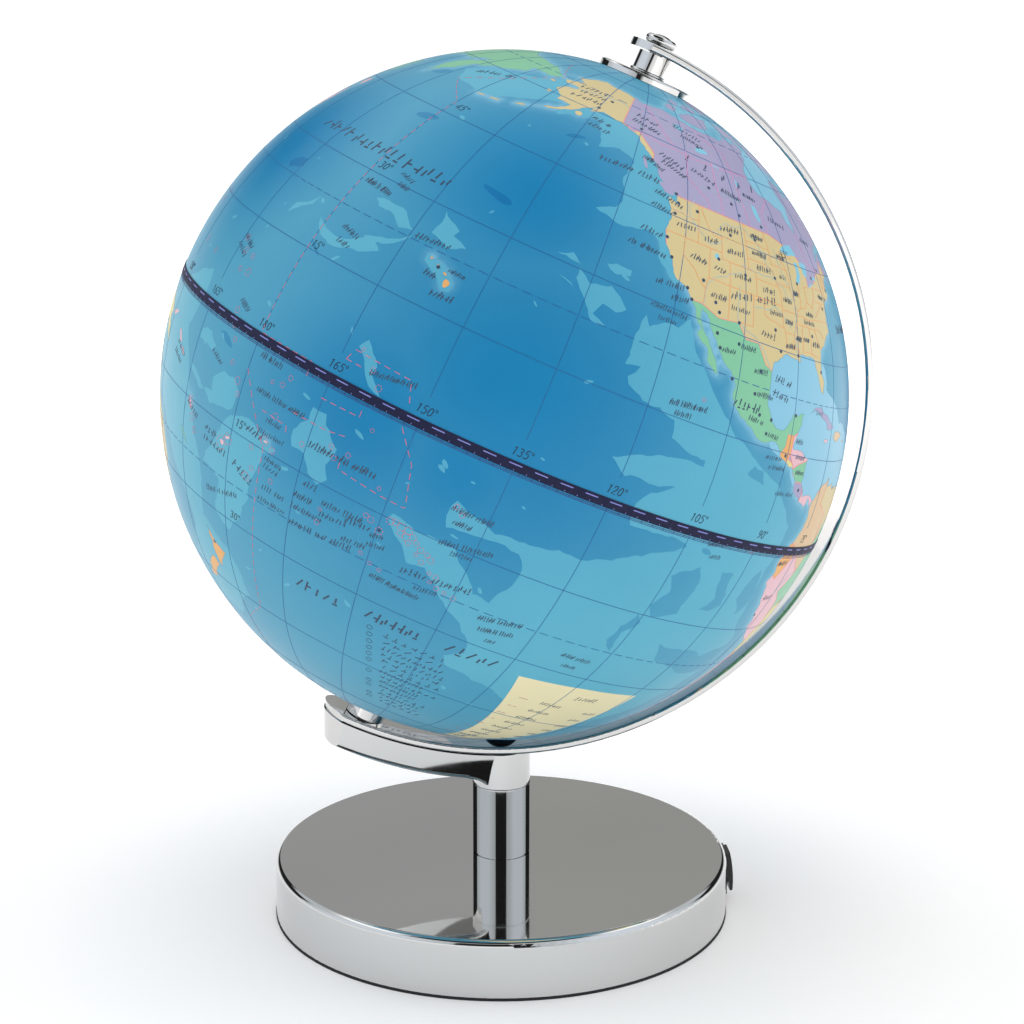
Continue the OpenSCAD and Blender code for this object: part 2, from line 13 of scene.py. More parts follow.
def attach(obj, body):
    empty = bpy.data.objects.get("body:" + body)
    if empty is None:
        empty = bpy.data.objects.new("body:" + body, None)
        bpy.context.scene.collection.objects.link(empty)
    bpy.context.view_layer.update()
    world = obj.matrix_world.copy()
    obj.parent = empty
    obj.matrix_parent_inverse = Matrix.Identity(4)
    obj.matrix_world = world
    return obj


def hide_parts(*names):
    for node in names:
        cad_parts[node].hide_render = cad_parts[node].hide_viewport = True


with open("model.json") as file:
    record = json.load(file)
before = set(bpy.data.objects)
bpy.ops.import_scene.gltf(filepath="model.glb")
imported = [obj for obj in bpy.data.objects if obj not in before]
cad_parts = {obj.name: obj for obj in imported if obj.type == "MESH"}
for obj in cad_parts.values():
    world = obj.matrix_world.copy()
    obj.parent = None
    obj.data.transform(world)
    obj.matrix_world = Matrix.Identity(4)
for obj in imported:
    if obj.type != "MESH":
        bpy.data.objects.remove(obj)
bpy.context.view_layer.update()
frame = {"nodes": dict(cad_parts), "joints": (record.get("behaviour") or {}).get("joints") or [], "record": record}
scene = bpy.context.scene
scene.view_settings.view_transform = "Standard"

# ---- driving values -------------------------------------------------------------------------

SPIN = next(j for j in frame["joints"] if j["name"] == "globe_spin")
BALL_CENTRE = Vector(SPIN["pos_m"])
AXIS_TILT = math.atan2(SPIN["axis"][0], SPIN["axis"][2])
MAP_TURN = math.radians(45.9)      # turn of the map about the axis at rest
GLOBE = (Matrix.Translation(BALL_CENTRE) @ Matrix.Rotation(AXIS_TILT, 4, "Y")
         @ Matrix.Rotation(MAP_TURN, 4, "Z"))
GLOBE_AXES = np.array(GLOBE.to_3x3())
GLOBE_CENTRE = np.array(GLOBE.translation)

MM = 0.001
BALL_R = 99.95 * MM                # outside of the printed skin
BALL_WALL = 1.55 * MM
INK_TOP = 99.985 * MM
INK_FOOT = 99.91 * MM
TAPE_TOP = 100.12 * MM
POLE_LAT = 86.27                   # the skin ends at the pole holes
ROW_STEP = 1.6                     # degrees between rows of the skin's points
INNER_STEP = 5.0                   # the same on the white inside
EQUATOR_POINTS, POLE_POINTS = 240, 48
COAST_STEP = 0.75                  # a coast is broken up to pieces of this many degrees
COAST_ROUGH = 0.13
RISE_STEP = 1.3
RISE_ROUGH = 0.10
SHORE_REACH = 10                   # degrees over which the shore attribute grows to 1
SEAMOUNTS = 90
SEED = 7

# ---- colours (linear) -----------------------------------------------------------------------


def rgb(code):
    """A linear colour from its six-digit web code."""
    parts = [int(code[k:k + 2], 16) / 255 for k in (0, 2, 4)]
    return tuple(c / 12.92 if c <= 0.04045 else ((c + 0.055) / 1.055) ** 2.4 for c in parts)


SEA, RISE, TROUGH = rgb("569FBA"), rgb("62AEC4"), rgb("3F8CB0")
LAKE, SHOAL, SHALLOW = rgb("7FC0D6"), rgb("93C8DC"), rgb("8AC0D6")
DEPTH_AND_SHADE_KEEP = (0.10, 0.56, 0.82)     # what open water keeps of its colour over the deepest basins and under the painted shade at the ball's middle
YELLOW, LAVENDER, GREEN, LEMON = rgb("CDBC8C"), rgb("A29DBC"), rgb("80BE9A"), rgb("D6CC8C")
PINK, TAN, ORANGE, ICE, CREAM = rgb("DDB4BD"), rgb("D2B48C"), rgb("E0A868"), rgb("DEE4EA"), rgb("E2DAB2")

# ---- map data: (longitude, latitude) in degrees ----------------------------------------------

NORTH_AMERICA = (
    (-168, 65.6), (-164, 66.5), (-162, 67), (-166.5, 68.3), (-163, 69.2), (-160, 70.5), (-156.5, 71.3),
    (-150, 70.5), (-143, 70.1), (-137, 69), (-133, 69.5), (-128, 70.2), (-124, 69.6), (-115, 68.2),
    (-110, 68), (-105, 68.3), (-98, 67.8), (-94, 69.2), (-94, 71.8), (-91, 69.4), (-87, 68.5),
    (-85, 69.7), (-82, 69.5), (-81.5, 68), (-85.5, 66.5), (-87, 65), (-90, 64), (-93.5, 62),
    (-94.7, 59.5), (-92.5, 57), (-88, 56.5), (-82.3, 55.2), (-82, 53), (-79.5, 51.3), (-79, 54.3),
    (-76.7, 56.5), (-78.2, 59), (-77.5, 61.5), (-74.5, 62.3), (-70, 61), (-69.5, 59), (-66, 58.7),
    (-64.5, 60.3), (-62, 57.5), (-60, 55.2), (-56, 52.8), (-57, 51.4), (-60, 50.2), (-66, 50.2),
    (-68.5, 49), (-71, 47), (-68, 48.6), (-64.5, 49), (-65, 47.7), (-64, 46), (-61, 45.5), (-60, 46.5),
    (-63.5, 44.5), (-66, 43.6), (-64.7, 45.4), (-67, 44.8), (-70, 43.7), (-70.6, 42), (-70, 41.7),
    (-74, 40.5), (-75.5, 38.5), (-76, 37), (-75.6, 35.3), (-78, 33.9), (-81, 32), (-81.4, 30.3),
    (-80, 26.8), (-80.4, 25.2), (-81.7, 25.9), (-82.8, 28), (-84, 30), (-86, 30.4), (-89.2, 30.3),
    (-89.2, 29.1), (-91.5, 29.4), (-94.5, 29.4), (-97.2, 27.7), (-97.5, 25), (-97.8, 22.4), (-96, 19.2),
    (-94.5, 18.2), (-92, 18.6), (-90.6, 20.3), (-90.3, 21.1), (-87, 21.5), (-87.6, 19.5), (-88.3, 17.8),
    (-88.8, 15.9), (-86, 15.9), (-83.3, 15), (-83.6, 12.5), (-83.6, 11), (-82, 9), (-79.8, 9.5),
    (-77.5, 8.6), (-78, 7.3), (-79.5, 8.9), (-80.3, 7.4), (-82.8, 8.2), (-85.8, 10), (-85.8, 11.2),
    (-87.7, 13), (-91.5, 14), (-94, 16.2), (-96.5, 15.7), (-99.8, 16.8), (-102.2, 18), (-104.4, 19.1),
    (-105.6, 20.4), (-105.4, 22.3), (-107, 24.3), (-109.4, 26), (-111, 28), (-112.8, 30.5),
    (-114.7, 31.7), (-114.5, 30), (-112.8, 27.9), (-111.3, 26), (-110, 24.2), (-109.6, 23),
    (-112.1, 24.6), (-112.3, 26.2), (-114.9, 27.8), (-114.2, 28.7), (-115.8, 30.4), (-117.1, 32.5),
    (-118.4, 33.9), (-120.6, 34.6), (-121.9, 36.6), (-122.5, 37.8), (-123.8, 39.4), (-124.3, 40.5),
    (-124.2, 42.8), (-124, 46.2), (-124.6, 48.3), (-122.6, 47.4), (-123, 49.2), (-127.5, 51),
    (-128.5, 52.8), (-130.5, 54.7), (-133, 56.5), (-135.5, 58.5), (-139.5, 59.6), (-144, 60.1),
    (-148, 60.6), (-151.5, 59.3), (-150.3, 61.2), (-153.8, 59.3), (-156.5, 57.2), (-160, 55.8),
    (-164.5, 54.6), (-162, 55.9), (-158, 57.7), (-157.3, 58.7), (-162, 58.7), (-162, 60), (-166, 61.6),
    (-164.8, 63.1), (-161, 63.8), (-161, 64.6), (-166, 64.5))
SOUTH_AMERICA = (
    (-77.3, 8.5), (-75.5, 10.6), (-74.8, 11.1), (-71.7, 12.4), (-71.5, 10.9), (-68.2, 11.5), (-68, 10.6),
    (-62, 10.7), (-60.8, 9.2), (-57.5, 6.2), (-52, 4.7), (-50, 1), (-48.5, -1), (-44.3, -2.8),
    (-40, -2.9), (-37, -4.8), (-34.9, -7.5), (-35.2, -9.5), (-38.5, -13), (-39, -17), (-40.9, -21.5),
    (-42, -23), (-46.5, -24.2), (-48.6, -26.5), (-50.2, -30), (-53.5, -34), (-57.5, -35), (-58.5, -34.3),
    (-57, -36.5), (-58, -38.2), (-62.2, -39), (-65, -41), (-65.3, -44.8), (-67.4, -46.3), (-65.8, -47.9),
    (-69, -50.5), (-68.4, -52.4), (-65.3, -54.8), (-70, -55.3), (-73.5, -52.5), (-75.5, -49.5),
    (-74.5, -45), (-73, -41.8), (-73.6, -38.5), (-71.7, -33.5), (-71.5, -29), (-70.3, -23),
    (-70.3, -18.3), (-75.8, -14.8), (-77.3, -12), (-79.6, -8), (-81.3, -5.5), (-80.2, -3.5), (-80.9, -2),
    (-80, 0.8), (-78.7, 1.6), (-77.2, 4), (-77.5, 6.8))
AFRICA = (
    (-6, 35.8), (-2, 35.2), (3, 36.9), (10, 37.3), (11, 35), (10.5, 33.8), (15.3, 32.3), (19, 30.3),
    (20.5, 32.7), (25, 31.6), (32, 31.3), (32.6, 29.9), (34, 27.5), (35.7, 23.9), (37.2, 21), (38.5, 18),
    (40, 15), (43.2, 11.8), (45, 10.5), (51.2, 11.9), (50.8, 9.5), (48, 4.5), (44, 1), (41.5, -1.8),
    (39.5, -4.5), (39.3, -8), (40.6, -11), (40.5, -15), (36.5, -18), (35, -20), (35.5, -24),
    (32.8, -26), (32, -29), (28, -33), (25.5, -34), (20, -34.8), (18.4, -34), (18, -31.5), (15.2, -27),
    (14.4, -22.5), (11.8, -17.5), (13.6, -12), (12.3, -6.2), (9, -1), (9.7, 2.5), (8.8, 4.5), (6, 4.3),
    (4.3, 6.3), (-2, 4.8), (-7.6, 4.4), (-11.5, 6.8), (-13.2, 9), (-16.7, 12.4), (-17.5, 14.7),
    (-16.2, 19), (-17, 21), (-14.5, 26), (-10, 29.5), (-9.7, 31.5), (-6.5, 34))
EURASIA = (
    (-9.4, 38.7), (-8.8, 41.8), (-9.2, 43.1), (-1.8, 43.4), (-1.2, 46), (-4.7, 48.4), (-1.5, 48.7),
    (0, 49.5), (2.5, 51), (4.5, 52.5), (8.5, 53.8), (8.2, 57), (10.6, 57.7), (10, 55), (12.5, 54.4),
    (18.5, 54.8), (21, 55.5), (21.7, 57.5), (24, 57.2), (23.5, 59.3), (30, 59.9), (25, 60.2), (21.5, 61),
    (25.4, 65), (22, 65.8), (17.5, 62), (18.8, 60), (16.5, 57), (14.3, 55.5), (12.8, 56), (11, 59),
    (8, 58), (5.3, 59.5), (5, 62), (10, 64), (14, 67.5), (19, 69.8), (25.8, 71), (31, 70.3), (41, 67.5),
    (40.5, 66.4), (33, 66.7), (35, 64.3), (40, 64.8), (44, 66), (44, 68.3), (54, 68.5), (60, 69),
    (67, 68.8), (67, 72), (72.5, 72.8), (73, 68), (75, 72.5), (80, 73.5), (87, 75), (98, 76.3),
    (104, 77.6), (113, 74), (127, 73), (131, 71), (140, 72.5), (150, 71.5), (160, 69.7), (170, 69.5),
    (180, 68.9), (190, 66), (187, 64.5), (178, 64.5), (179, 62.4), (170, 60), (163.5, 58), (162, 55),
    (158.5, 52.8), (156.7, 51), (156, 57), (163, 61.5), (155, 59.3), (142, 59.2), (135.5, 54.7),
    (141, 53), (140.5, 48.5), (135, 43.7), (131.5, 43), (129.5, 41), (127.5, 39.5), (129.3, 37),
    (129, 35.2), (126.4, 34.5), (126.6, 37.3), (125, 39.6), (121.5, 38.9), (121.5, 40.7), (118, 39),
    (119, 37.3), (122.4, 37.2), (119.3, 35), (121.8, 31.5), (121.5, 28.5), (118.5, 24.7), (114, 22.3),
    (110.3, 21), (108, 21.7), (105.8, 19), (109, 13), (107, 10.4), (105, 8.7), (103, 11), (100.6, 13.4),
    (99.3, 10.5), (100.5, 7), (103.4, 4), (104, 1.4), (101, 3), (98.4, 8), (98.6, 13), (97.5, 16.5),
    (94.3, 16), (92, 21.5), (89, 21.8), (87, 21.3), (82.3, 16.8), (80.2, 13.5), (79.8, 10.3),
    (77.6, 8.1), (76, 11), (73, 17), (72.7, 21), (69.2, 22.3), (67, 24.8), (61.5, 25.1), (57.2, 25.8),
    (56, 27), (51.5, 27.9), (50, 30), (48, 29.8), (50.2, 26.6), (51.5, 25.5), (51.7, 24.2), (56.3, 26.2),
    (56.7, 24), (59.8, 22.5), (57.8, 19), (55, 17), (52, 15.6), (45, 12.8), (43.3, 12.8), (42.6, 16.5),
    (39, 21.3), (35, 28), (32.7, 29.9), (34.3, 31.3), (35.9, 35.5), (36, 36.8), (30.5, 36.4), (27.3, 37),
    (26.3, 39.3), (29, 41), (31.5, 41.3), (35, 42), (38.5, 41), (41.5, 41.5), (38, 44.5), (39, 47.2),
    (35, 46.3), (33.5, 44.6), (33, 46), (30.7, 46.5), (28.5, 43.8), (28.8, 41.3), (26, 40.8),
    (23.8, 40.3), (23.8, 38), (22.5, 36.6), (21, 38.3), (19.4, 41), (19.3, 42), (15.2, 44), (13.6, 45.6),
    (12.4, 44.8), (14, 42.5), (18.4, 40.2), (17, 39.2), (16, 38), (14.5, 40.7), (11, 42.4), (8.8, 44.3),
    (4.8, 43.3), (3, 42), (-0.3, 39.3), (-2, 36.8), (-5.5, 36), (-8.9, 37))
AUSTRALIA = (
    (114, -22), (115.6, -32), (115, -34.3), (118, -35), (124, -33), (131, -31.5), (135.5, -34.8),
    (138, -33), (138, -35.5), (140.5, -38), (146.3, -39), (150, -37), (151.3, -33.5), (153.5, -28.5),
    (153, -25), (149, -21), (146, -19), (145.3, -15), (142.5, -10.8), (141.6, -14), (140.5, -17.5),
    (136, -15.2), (136.5, -12), (131, -12), (129.5, -15), (125, -14.5), (122.2, -18), (119, -20))
ANTARCTICA = (
    (-180, -78), (-160, -77.5), (-150, -76.5), (-135, -74.5), (-110, -74.5), (-98, -72.5), (-80, -73),
    (-68, -70), (-66, -66.5), (-58, -63.5), (-61, -68), (-62, -74), (-78, -77.5), (-60, -80),
    (-35, -78), (-20, -73), (0, -70.5), (25, -70), (50, -66.8), (68, -69.5), (80, -67.5), (110, -66.3),
    (135, -66.5), (160, -70), (170, -72), (165, -77), (180, -78), (180, -89.5), (-180, -89.5))
GREENLAND = (
    (-73, 78.3), (-62, 76.2), (-55, 71.5), (-52.5, 66), (-48.5, 61), (-43.5, 60), (-40, 65), (-32, 68.2),
    (-22, 70.5), (-20, 75), (-18, 80), (-30, 83.4), (-60, 82))
# smaller islands: colour, then either an outline, or (longitude, latitude, half width, half height, turn)
ISLANDS = (
    (LAVENDER, ((-95, 73.8), (-100, 72.5), (-102, 70), (-108, 69), (-117, 70), (-118, 71.3), (-112, 73))),
    (LAVENDER, ((-125, 72), (-120, 71.4), (-117, 73.5), (-123, 74.3))),
    (LAVENDER, ((-90, 73.8), (-80, 73.7), (-72, 71.5), (-62, 66.3), (-66, 62.5), (-73, 64.5), (-77, 67.5),
                (-72, 68.5), (-79, 70), (-89, 70.5))),
    (LAVENDER, ((-80, 76), (-90, 76.5), (-95, 79), (-85, 82.5), (-68, 83), (-75, 79.5))),
    (LAVENDER, (-105, 75.8, 7, 1.3, 0)), (LAVENDER, (-117, 76, 3.4, 1.1, 20)),
    (LAVENDER, ((-59.3, 47.8), (-53.5, 46.7), (-53, 48.5), (-55.6, 51.3), (-58, 49))),
    (LAVENDER, (-125.6, 49.6, 2.5, 0.75, -38)), (LAVENDER, (-132, 53.2, 0.6, 1.4, 20)),
    (YELLOW, (-153.6, 57.5, 1.2, 0.7, 30)), (YELLOW, (-166.5, 60, 0.9, 0.5, 0)),
    (YELLOW, (-170.3, 63.4, 1.1, 0.35, 0)), (YELLOW, (-167.5, 53.6, 1.6, 0.3, 25)),
    (YELLOW, (-174, 52.1, 1.9, 0.25, 5)), (YELLOW, (-178, 51.8, 1.4, 0.2, 5)),
    (ORANGE, (-155.5, 19.6, 0.62, 0.66, 0)), (ORANGE, (-156.4, 20.8, 0.4, 0.22, -20)),
    (ORANGE, (-158, 21.5, 0.3, 0.2, -30)), (ORANGE, (-159.6, 22.1, 0.28, 0.22, 0)),
    (LAVENDER, ((-84.8, 21.9), (-81, 23.1), (-77.5, 21.8), (-74.2, 20.2), (-77.3, 19.9), (-78.3, 21.1),
                (-82, 22.4))),
    (TAN, (-71.3, 19, 2.6, 0.75, 0)), (PINK, (-77.3, 18.1, 1.1, 0.3, 0)),
    (YELLOW, (-66.4, 18.2, 0.8, 0.2, 0)),
    (GREEN, ((-24, 65.5), (-21.5, 64), (-18.5, 63.5), (-14, 65), (-16, 66.3), (-21, 66))),
    (PINK, ((-5.5, 50.2), (1.2, 51.2), (1.6, 52.7), (-0.2, 54), (-2, 56), (-2, 57.6), (-4.5, 58.6),
            (-5.8, 57), (-3.2, 54.5), (-4.6, 53), (-3, 51.6))),
    (ORANGE, (-7.9, 53.3, 1.9, 1.6, 20)), (TAN, (18, 78.8, 5, 1.1, 0)), (GREEN, (60, 74.3, 1.2, 3.4, -55)),
    (GREEN, (143, 50.3, 0.7, 3.6, 0)), (PINK, ((130.5, 31.4), (131.7, 34), (136, 33.6), (140, 35.2),
     (142, 39.7), (140, 41), (139.5, 38.5), (136, 36), (131, 34.7), (129.8, 32.8))),
    (PINK, (143, 43.3, 2, 1.2, 0)), (PINK, (133.5, 33.6, 1.2, 0.45, 15)), (LEMON, (121, 23.7, 0.5, 1.3, -20)),
    (GREEN, (80.8, 7.5, 0.9, 1.5, 0)), (ORANGE, (46.8, -19.5, 1.9, 6.3, -16)),
    (LEMON, (110, 19.2, 1.1, 0.7, 0)),
    (TAN, ((120.3, 16), (120.7, 18.5), (122.2, 18.3), (121.6, 16), (124, 12.7), (121.5, 13.8))),
    (TAN, (125, 7.6, 1.6, 1.6, 0)), (TAN, (123.5, 10.7, 1.6, 1, 30)),
    (LEMON, ((109, 1.5), (111, 1.5), (113.2, 3.3), (117, 7), (119, 5), (117.8, 1), (116.5, -1.5),
             (115.5, -4), (111, -3.4), (109.5, -0.5))),
    (LEMON, ((95.3, 5.6), (98, 4.3), (103.5, -1), (106, -3), (105.8, -5.8), (102.3, -4.5), (98.5, 1.7))),
    (LEMON, ((105.3, -6.7), (108.5, -6.6), (114.4, -7.6), (114.4, -8.6), (108, -7.8))),
    (LEMON, ((119, -3.5), (120.3, 1), (125, 1.5), (120.8, 0), (123.2, -1), (121.3, -2), (122.3, -5.3),
             (120.4, -3), (119.5, -5.5))),
    (LEMON, ((131, -0.8), (134, -1), (135, -3.3), (138, -1.7), (141, -2.6), (145, -4.3), (148, -6),
             (147, -7), (150.5, -10.5), (147, -9.7), (144, -7.8), (141, -9), (138, -8.2), (138, -5.6),
             (133, -4), (132.5, -2.5))),
    (PINK, (151, -5.5, 2, 0.5, 15)), (PINK, (157.5, -7.6, 1.6, 0.4, -35)),
    (PINK, (160.3, -9.4, 1.1, 0.35, -20)),
    (GREEN, (165.3, -21.3, 1.9, 0.3, -38)), (PINK, (167, -15.6, 0.45, 1, 20)),
    (PINK, (178, -17.8, 0.6, 0.5, 0)),
    (PINK, (179.3, -16.6, 0.7, 0.28, 20)), (PINK, (-172.4, -13.6, 0.5, 0.22, 0)),
    (YELLOW, (146.7, -42, 1.5, 1.3, 0)),
    (ORANGE, ((172.8, -34.5), (175, -36.5), (178.4, -37.7), (177, -39.4), (175.3, -41.6), (174, -39.4))),
    (ORANGE, ((172.8, -40.6), (174.2, -41.8), (171, -44.4), (170.3, -46), (166.6, -46), (168.5, -44))),
    (TAN, (-59.5, -51.7, 1.6, 0.5, 0)))
# parts of the land in another colour; they may run over the coast
COUNTRIES = (
    (YELLOW, ((-126, 48.4), (-123.2, 49), (-95, 49), (-89.5, 48), (-84.7, 46.5), (-82.5, 45.3), (-82.5, 42),
              (-79, 42.8), (-76.5, 44.1), (-75, 45), (-71.5, 45), (-69, 47.4), (-67.8, 45.8), (-66.8, 44.8),
              (-66, 40), (-74, 30), (-79, 24), (-84, 24), (-94, 27), (-96, 25.9), (-99.3, 27), (-101.4, 29.8),
              (-104.5, 29.7), (-106.5, 31.8), (-111, 31.3), (-114.8, 32.5), (-117.3, 32.5), (-122, 32))),
    (YELLOW, ((-141, 72), (-141, 60.3), (-137.5, 59), (-135.5, 59.7), (-130, 55.9), (-130, 54.5),
              (-135, 53), (-172, 50), (-172, 73))),
    (GREEN, ((-122, 32), (-117.3, 32.5), (-114.8, 32.5), (-111, 31.3), (-106.5, 31.8), (-104.5, 29.7),
             (-101.4, 29.8), (-99.3, 27), (-96, 25.9), (-94, 27), (-86, 23), (-86, 20), (-88.2, 18.4),
             (-89.2, 17.8), (-91, 17.8), (-91, 16), (-92.2, 14.5), (-95, 12), (-122, 20))),
    (ORANGE, ((-92.2, 14.5), (-91, 16), (-91, 17.8), (-89.2, 17.8), (-89.2, 15), (-89.6, 14.3), (-90.5, 13))),
    (PINK, ((-89.2, 17.8), (-87.5, 18.6), (-87.3, 16.2), (-89.2, 15.9))),
    (LEMON, ((-90.5, 13), (-89.6, 14.3), (-88, 13.7), (-87.5, 12.5))),
    (PINK, ((-89.2, 15), (-89.2, 16.2), (-83, 16.2), (-83, 14.8), (-86, 13.8), (-87.5, 13))),
    (GREEN, ((-87.8, 12.8), (-86, 13.8), (-83, 14.8), (-82.5, 11), (-85.8, 11.1))),
    (LAVENDER, ((-86.5, 11.1), (-83.3, 11), (-82.4, 9.3), (-83, 7.6), (-86.5, 9))),
    (PINK, ((-83, 7.6), (-82.4, 9.5), (-79, 10.2), (-77.3, 8.6), (-77.6, 7), (-80, 6.5))),
    (TAN, ((-77.5, 8.8), (-71.5, 13), (-72.5, 8), (-67.5, 6), (-67, 1.5), (-70, -4.2), (-75.3, -0.2),
           (-79, 1.5), (-79, 6))),
    (YELLOW, ((-71.5, 13), (-72.5, 8), (-67.5, 6), (-66.5, 1), (-64, 4), (-60.5, 5), (-60, 9.5), (-66, 13))),
    (ORANGE, ((-79.5, 1.6), (-75.3, -0.2), (-79, -5), (-82, -3.4), (-82, 1))),
    (PINK, ((-82, -3.4), (-79, -5), (-75.3, -0.2), (-70, -4.2), (-73.5, -7.5), (-70.5, -9.5), (-69, -14),
            (-69.5, -17.5), (-71, -19), (-84, -12))),
    (LEMON, ((-69.5, -17.5), (-69, -11), (-65.5, -10), (-58, -16), (-57.8, -20), (-62, -22.2), (-67, -22.8))),
    (YELLOW, ((-67, -22.8), (-62, -22.2), (-57.5, -25.5), (-53.5, -27), (-58, -33.5), (-55, -40),
              (-64, -56), (-68.5, -56), (-72.5, -49), (-71, -40), (-69.5, -28))),
    (LAVENDER, ((-71, -19), (-67, -22.8), (-69.5, -28), (-71, -40), (-72.5, -49), (-68.5, -56), (-78, -56),
                (-78, -30))),
    (TAN, ((-58.5, -34.5), (-57.5, -30), (-53, -32.5), (-53, -36))),
    (GREEN, ((30, 72), (28, 61), (32, 52), (40, 49.5), (48, 45), (50, 51.5), (61, 54.5), (77, 54), (87, 49),
             (98, 50.5), (116, 49.8), (121, 53.3), (127, 50), (131, 47.7), (131, 42), (140, 44), (146, 50),
             (160, 48), (192, 62), (192, 72), (110, 80))),
    (LEMON, ((73.5, 39.5), (80, 49), (87, 49), (98, 42.6), (111, 43.5), (119.8, 47), (121, 53.3), (127, 50),
             (131, 47.7), (130.6, 42.6), (124, 40), (124, 20), (108, 18), (105, 22.8), (98, 24), (97, 28),
             (80, 31))),
    (ORANGE, ((87, 49), (98, 50.5), (116, 49.8), (119.8, 47), (111, 43.5), (98, 42.6))),
    (PINK, ((67, 24), (71, 28), (74.5, 33), (80, 31), (88, 27.5), (97, 28), (93, 20), (86, 5), (74, 5),
            (66, 22))),
    (YELLOW, ((50, 51.5), (61, 54.5), (77, 54), (87, 49), (80, 42), (68, 41), (55, 41), (53, 45))),
    (LAVENDER, ((44, 37), (48, 39.5), (55, 37.5), (61, 36.5), (61.5, 24), (55, 26), (48, 30))),
    (ORANGE, ((34, 28), (39, 33), (48, 29.5), (60, 24), (60, 14), (42, 11))),
    (LAVENDER, ((25, 41.5), (30, 44), (44, 41), (44, 37), (36, 35), (25, 35))),
    (TAN, ((-10, 36), (-10, 44), (-2, 43.4), (3.3, 42.3), (3, 35))),
    (PINK, ((-2, 43.4), (3.3, 42.3), (7.5, 43.7), (8, 49), (2.5, 51.2), (-6, 49))),
    (LEMON, ((7.5, 43.7), (13.5, 46.5), (20, 40), (16, 35), (7, 38))),
    (GREEN, ((4, 50), (8, 49), (14, 49), (14.5, 55.5), (4, 55))),
    (YELLOW, ((4, 57), (12, 59), (30, 63), (30, 72), (4, 72))),
    (LAVENDER, ((97.5, 6), (97.5, 24), (105, 22.8), (110, 17), (110, 0), (100, 0))),
    (GREEN, ((-18, 14), (-18, 27), (-8.5, 27.5), (-5, 25), (3.5, 19), (4, 14))),
    (ORANGE, ((-8.5, 27.5), (-2, 36), (9, 38), (10, 30), (12, 23.5), (3.5, 19), (-5, 25))),
    (YELLOW, ((10, 30), (11, 34), (25, 33), (25, 20), (12, 23.5))),
    (PINK, ((25, 33), (37, 33), (37, 22), (25, 22))),
    (LEMON, ((3, 14), (3.5, 19), (14, 22), (15, 12), (9, 3), (2, 5))),
    (LAVENDER, ((23.8, 20), (25, 22), (39, 22), (37, 12), (34, 4), (24, 8))),
    (GREEN, ((33, 15), (43, 12), (53, 13), (41, -3), (34, 0))),
    (YELLOW, ((12, 5), (24, 5), (30, 4), (29, -8), (22, -11), (16, -8), (11, -6))),
    (PINK, ((11, -6), (16, -8), (24, -11), (24, -17), (10, -18))),
    (ORANGE, ((14, -29), (20, -22), (31, -22), (34, -28), (30, -36), (16, -36))),
    (GREEN, ((24, -17), (24, -11), (34, -10), (42, -10), (41, -18), (35, -24), (31, -22))))
LAKES = (
    ((-92, 46.7), (-89, 48.2), (-86, 48.6), (-84.6, 46.8), (-87.5, 46.6)),
    ((-87.8, 41.8), (-86.3, 42), (-85.3, 45.6), (-87, 45.4)),
    ((-84.3, 45.8), (-81, 45.8), (-81.7, 43.4), (-83.4, 43.9)),
    ((-83.2, 41.8), (-79, 42.8), (-81, 42.6)), ((-79.6, 43.4), (-76.5, 43.6), (-77, 44.1)),
    (-97.6, 52.3, 0.8, 1.7, 10), (-113.5, 61.8, 2.6, 0.7, 10), (-121, 66, 2.2, 0.9, 0),
    (-109, 59.3, 1.8, 0.3, 0), (-102, 57.3, 0.6, 0.9, 0), (-112.4, 41.1, 0.5, 0.5, 0),
    ((50, 46.5), (47.5, 43), (49.5, 40.5), (49, 38), (53.8, 37), (53, 40), (51.5, 44.5), (53, 46.5)),
    (59.5, 45, 1.5, 1.3, 0), (107.5, 53.4, 3.2, 0.35, 45), (33, -1, 1.5, 1.3, 0), (29.6, -6.2, 0.35, 2.3, 15),
    (34.5, -12, 0.35, 2.3, 0), (31.5, 61, 1.3, 0.6, 0))
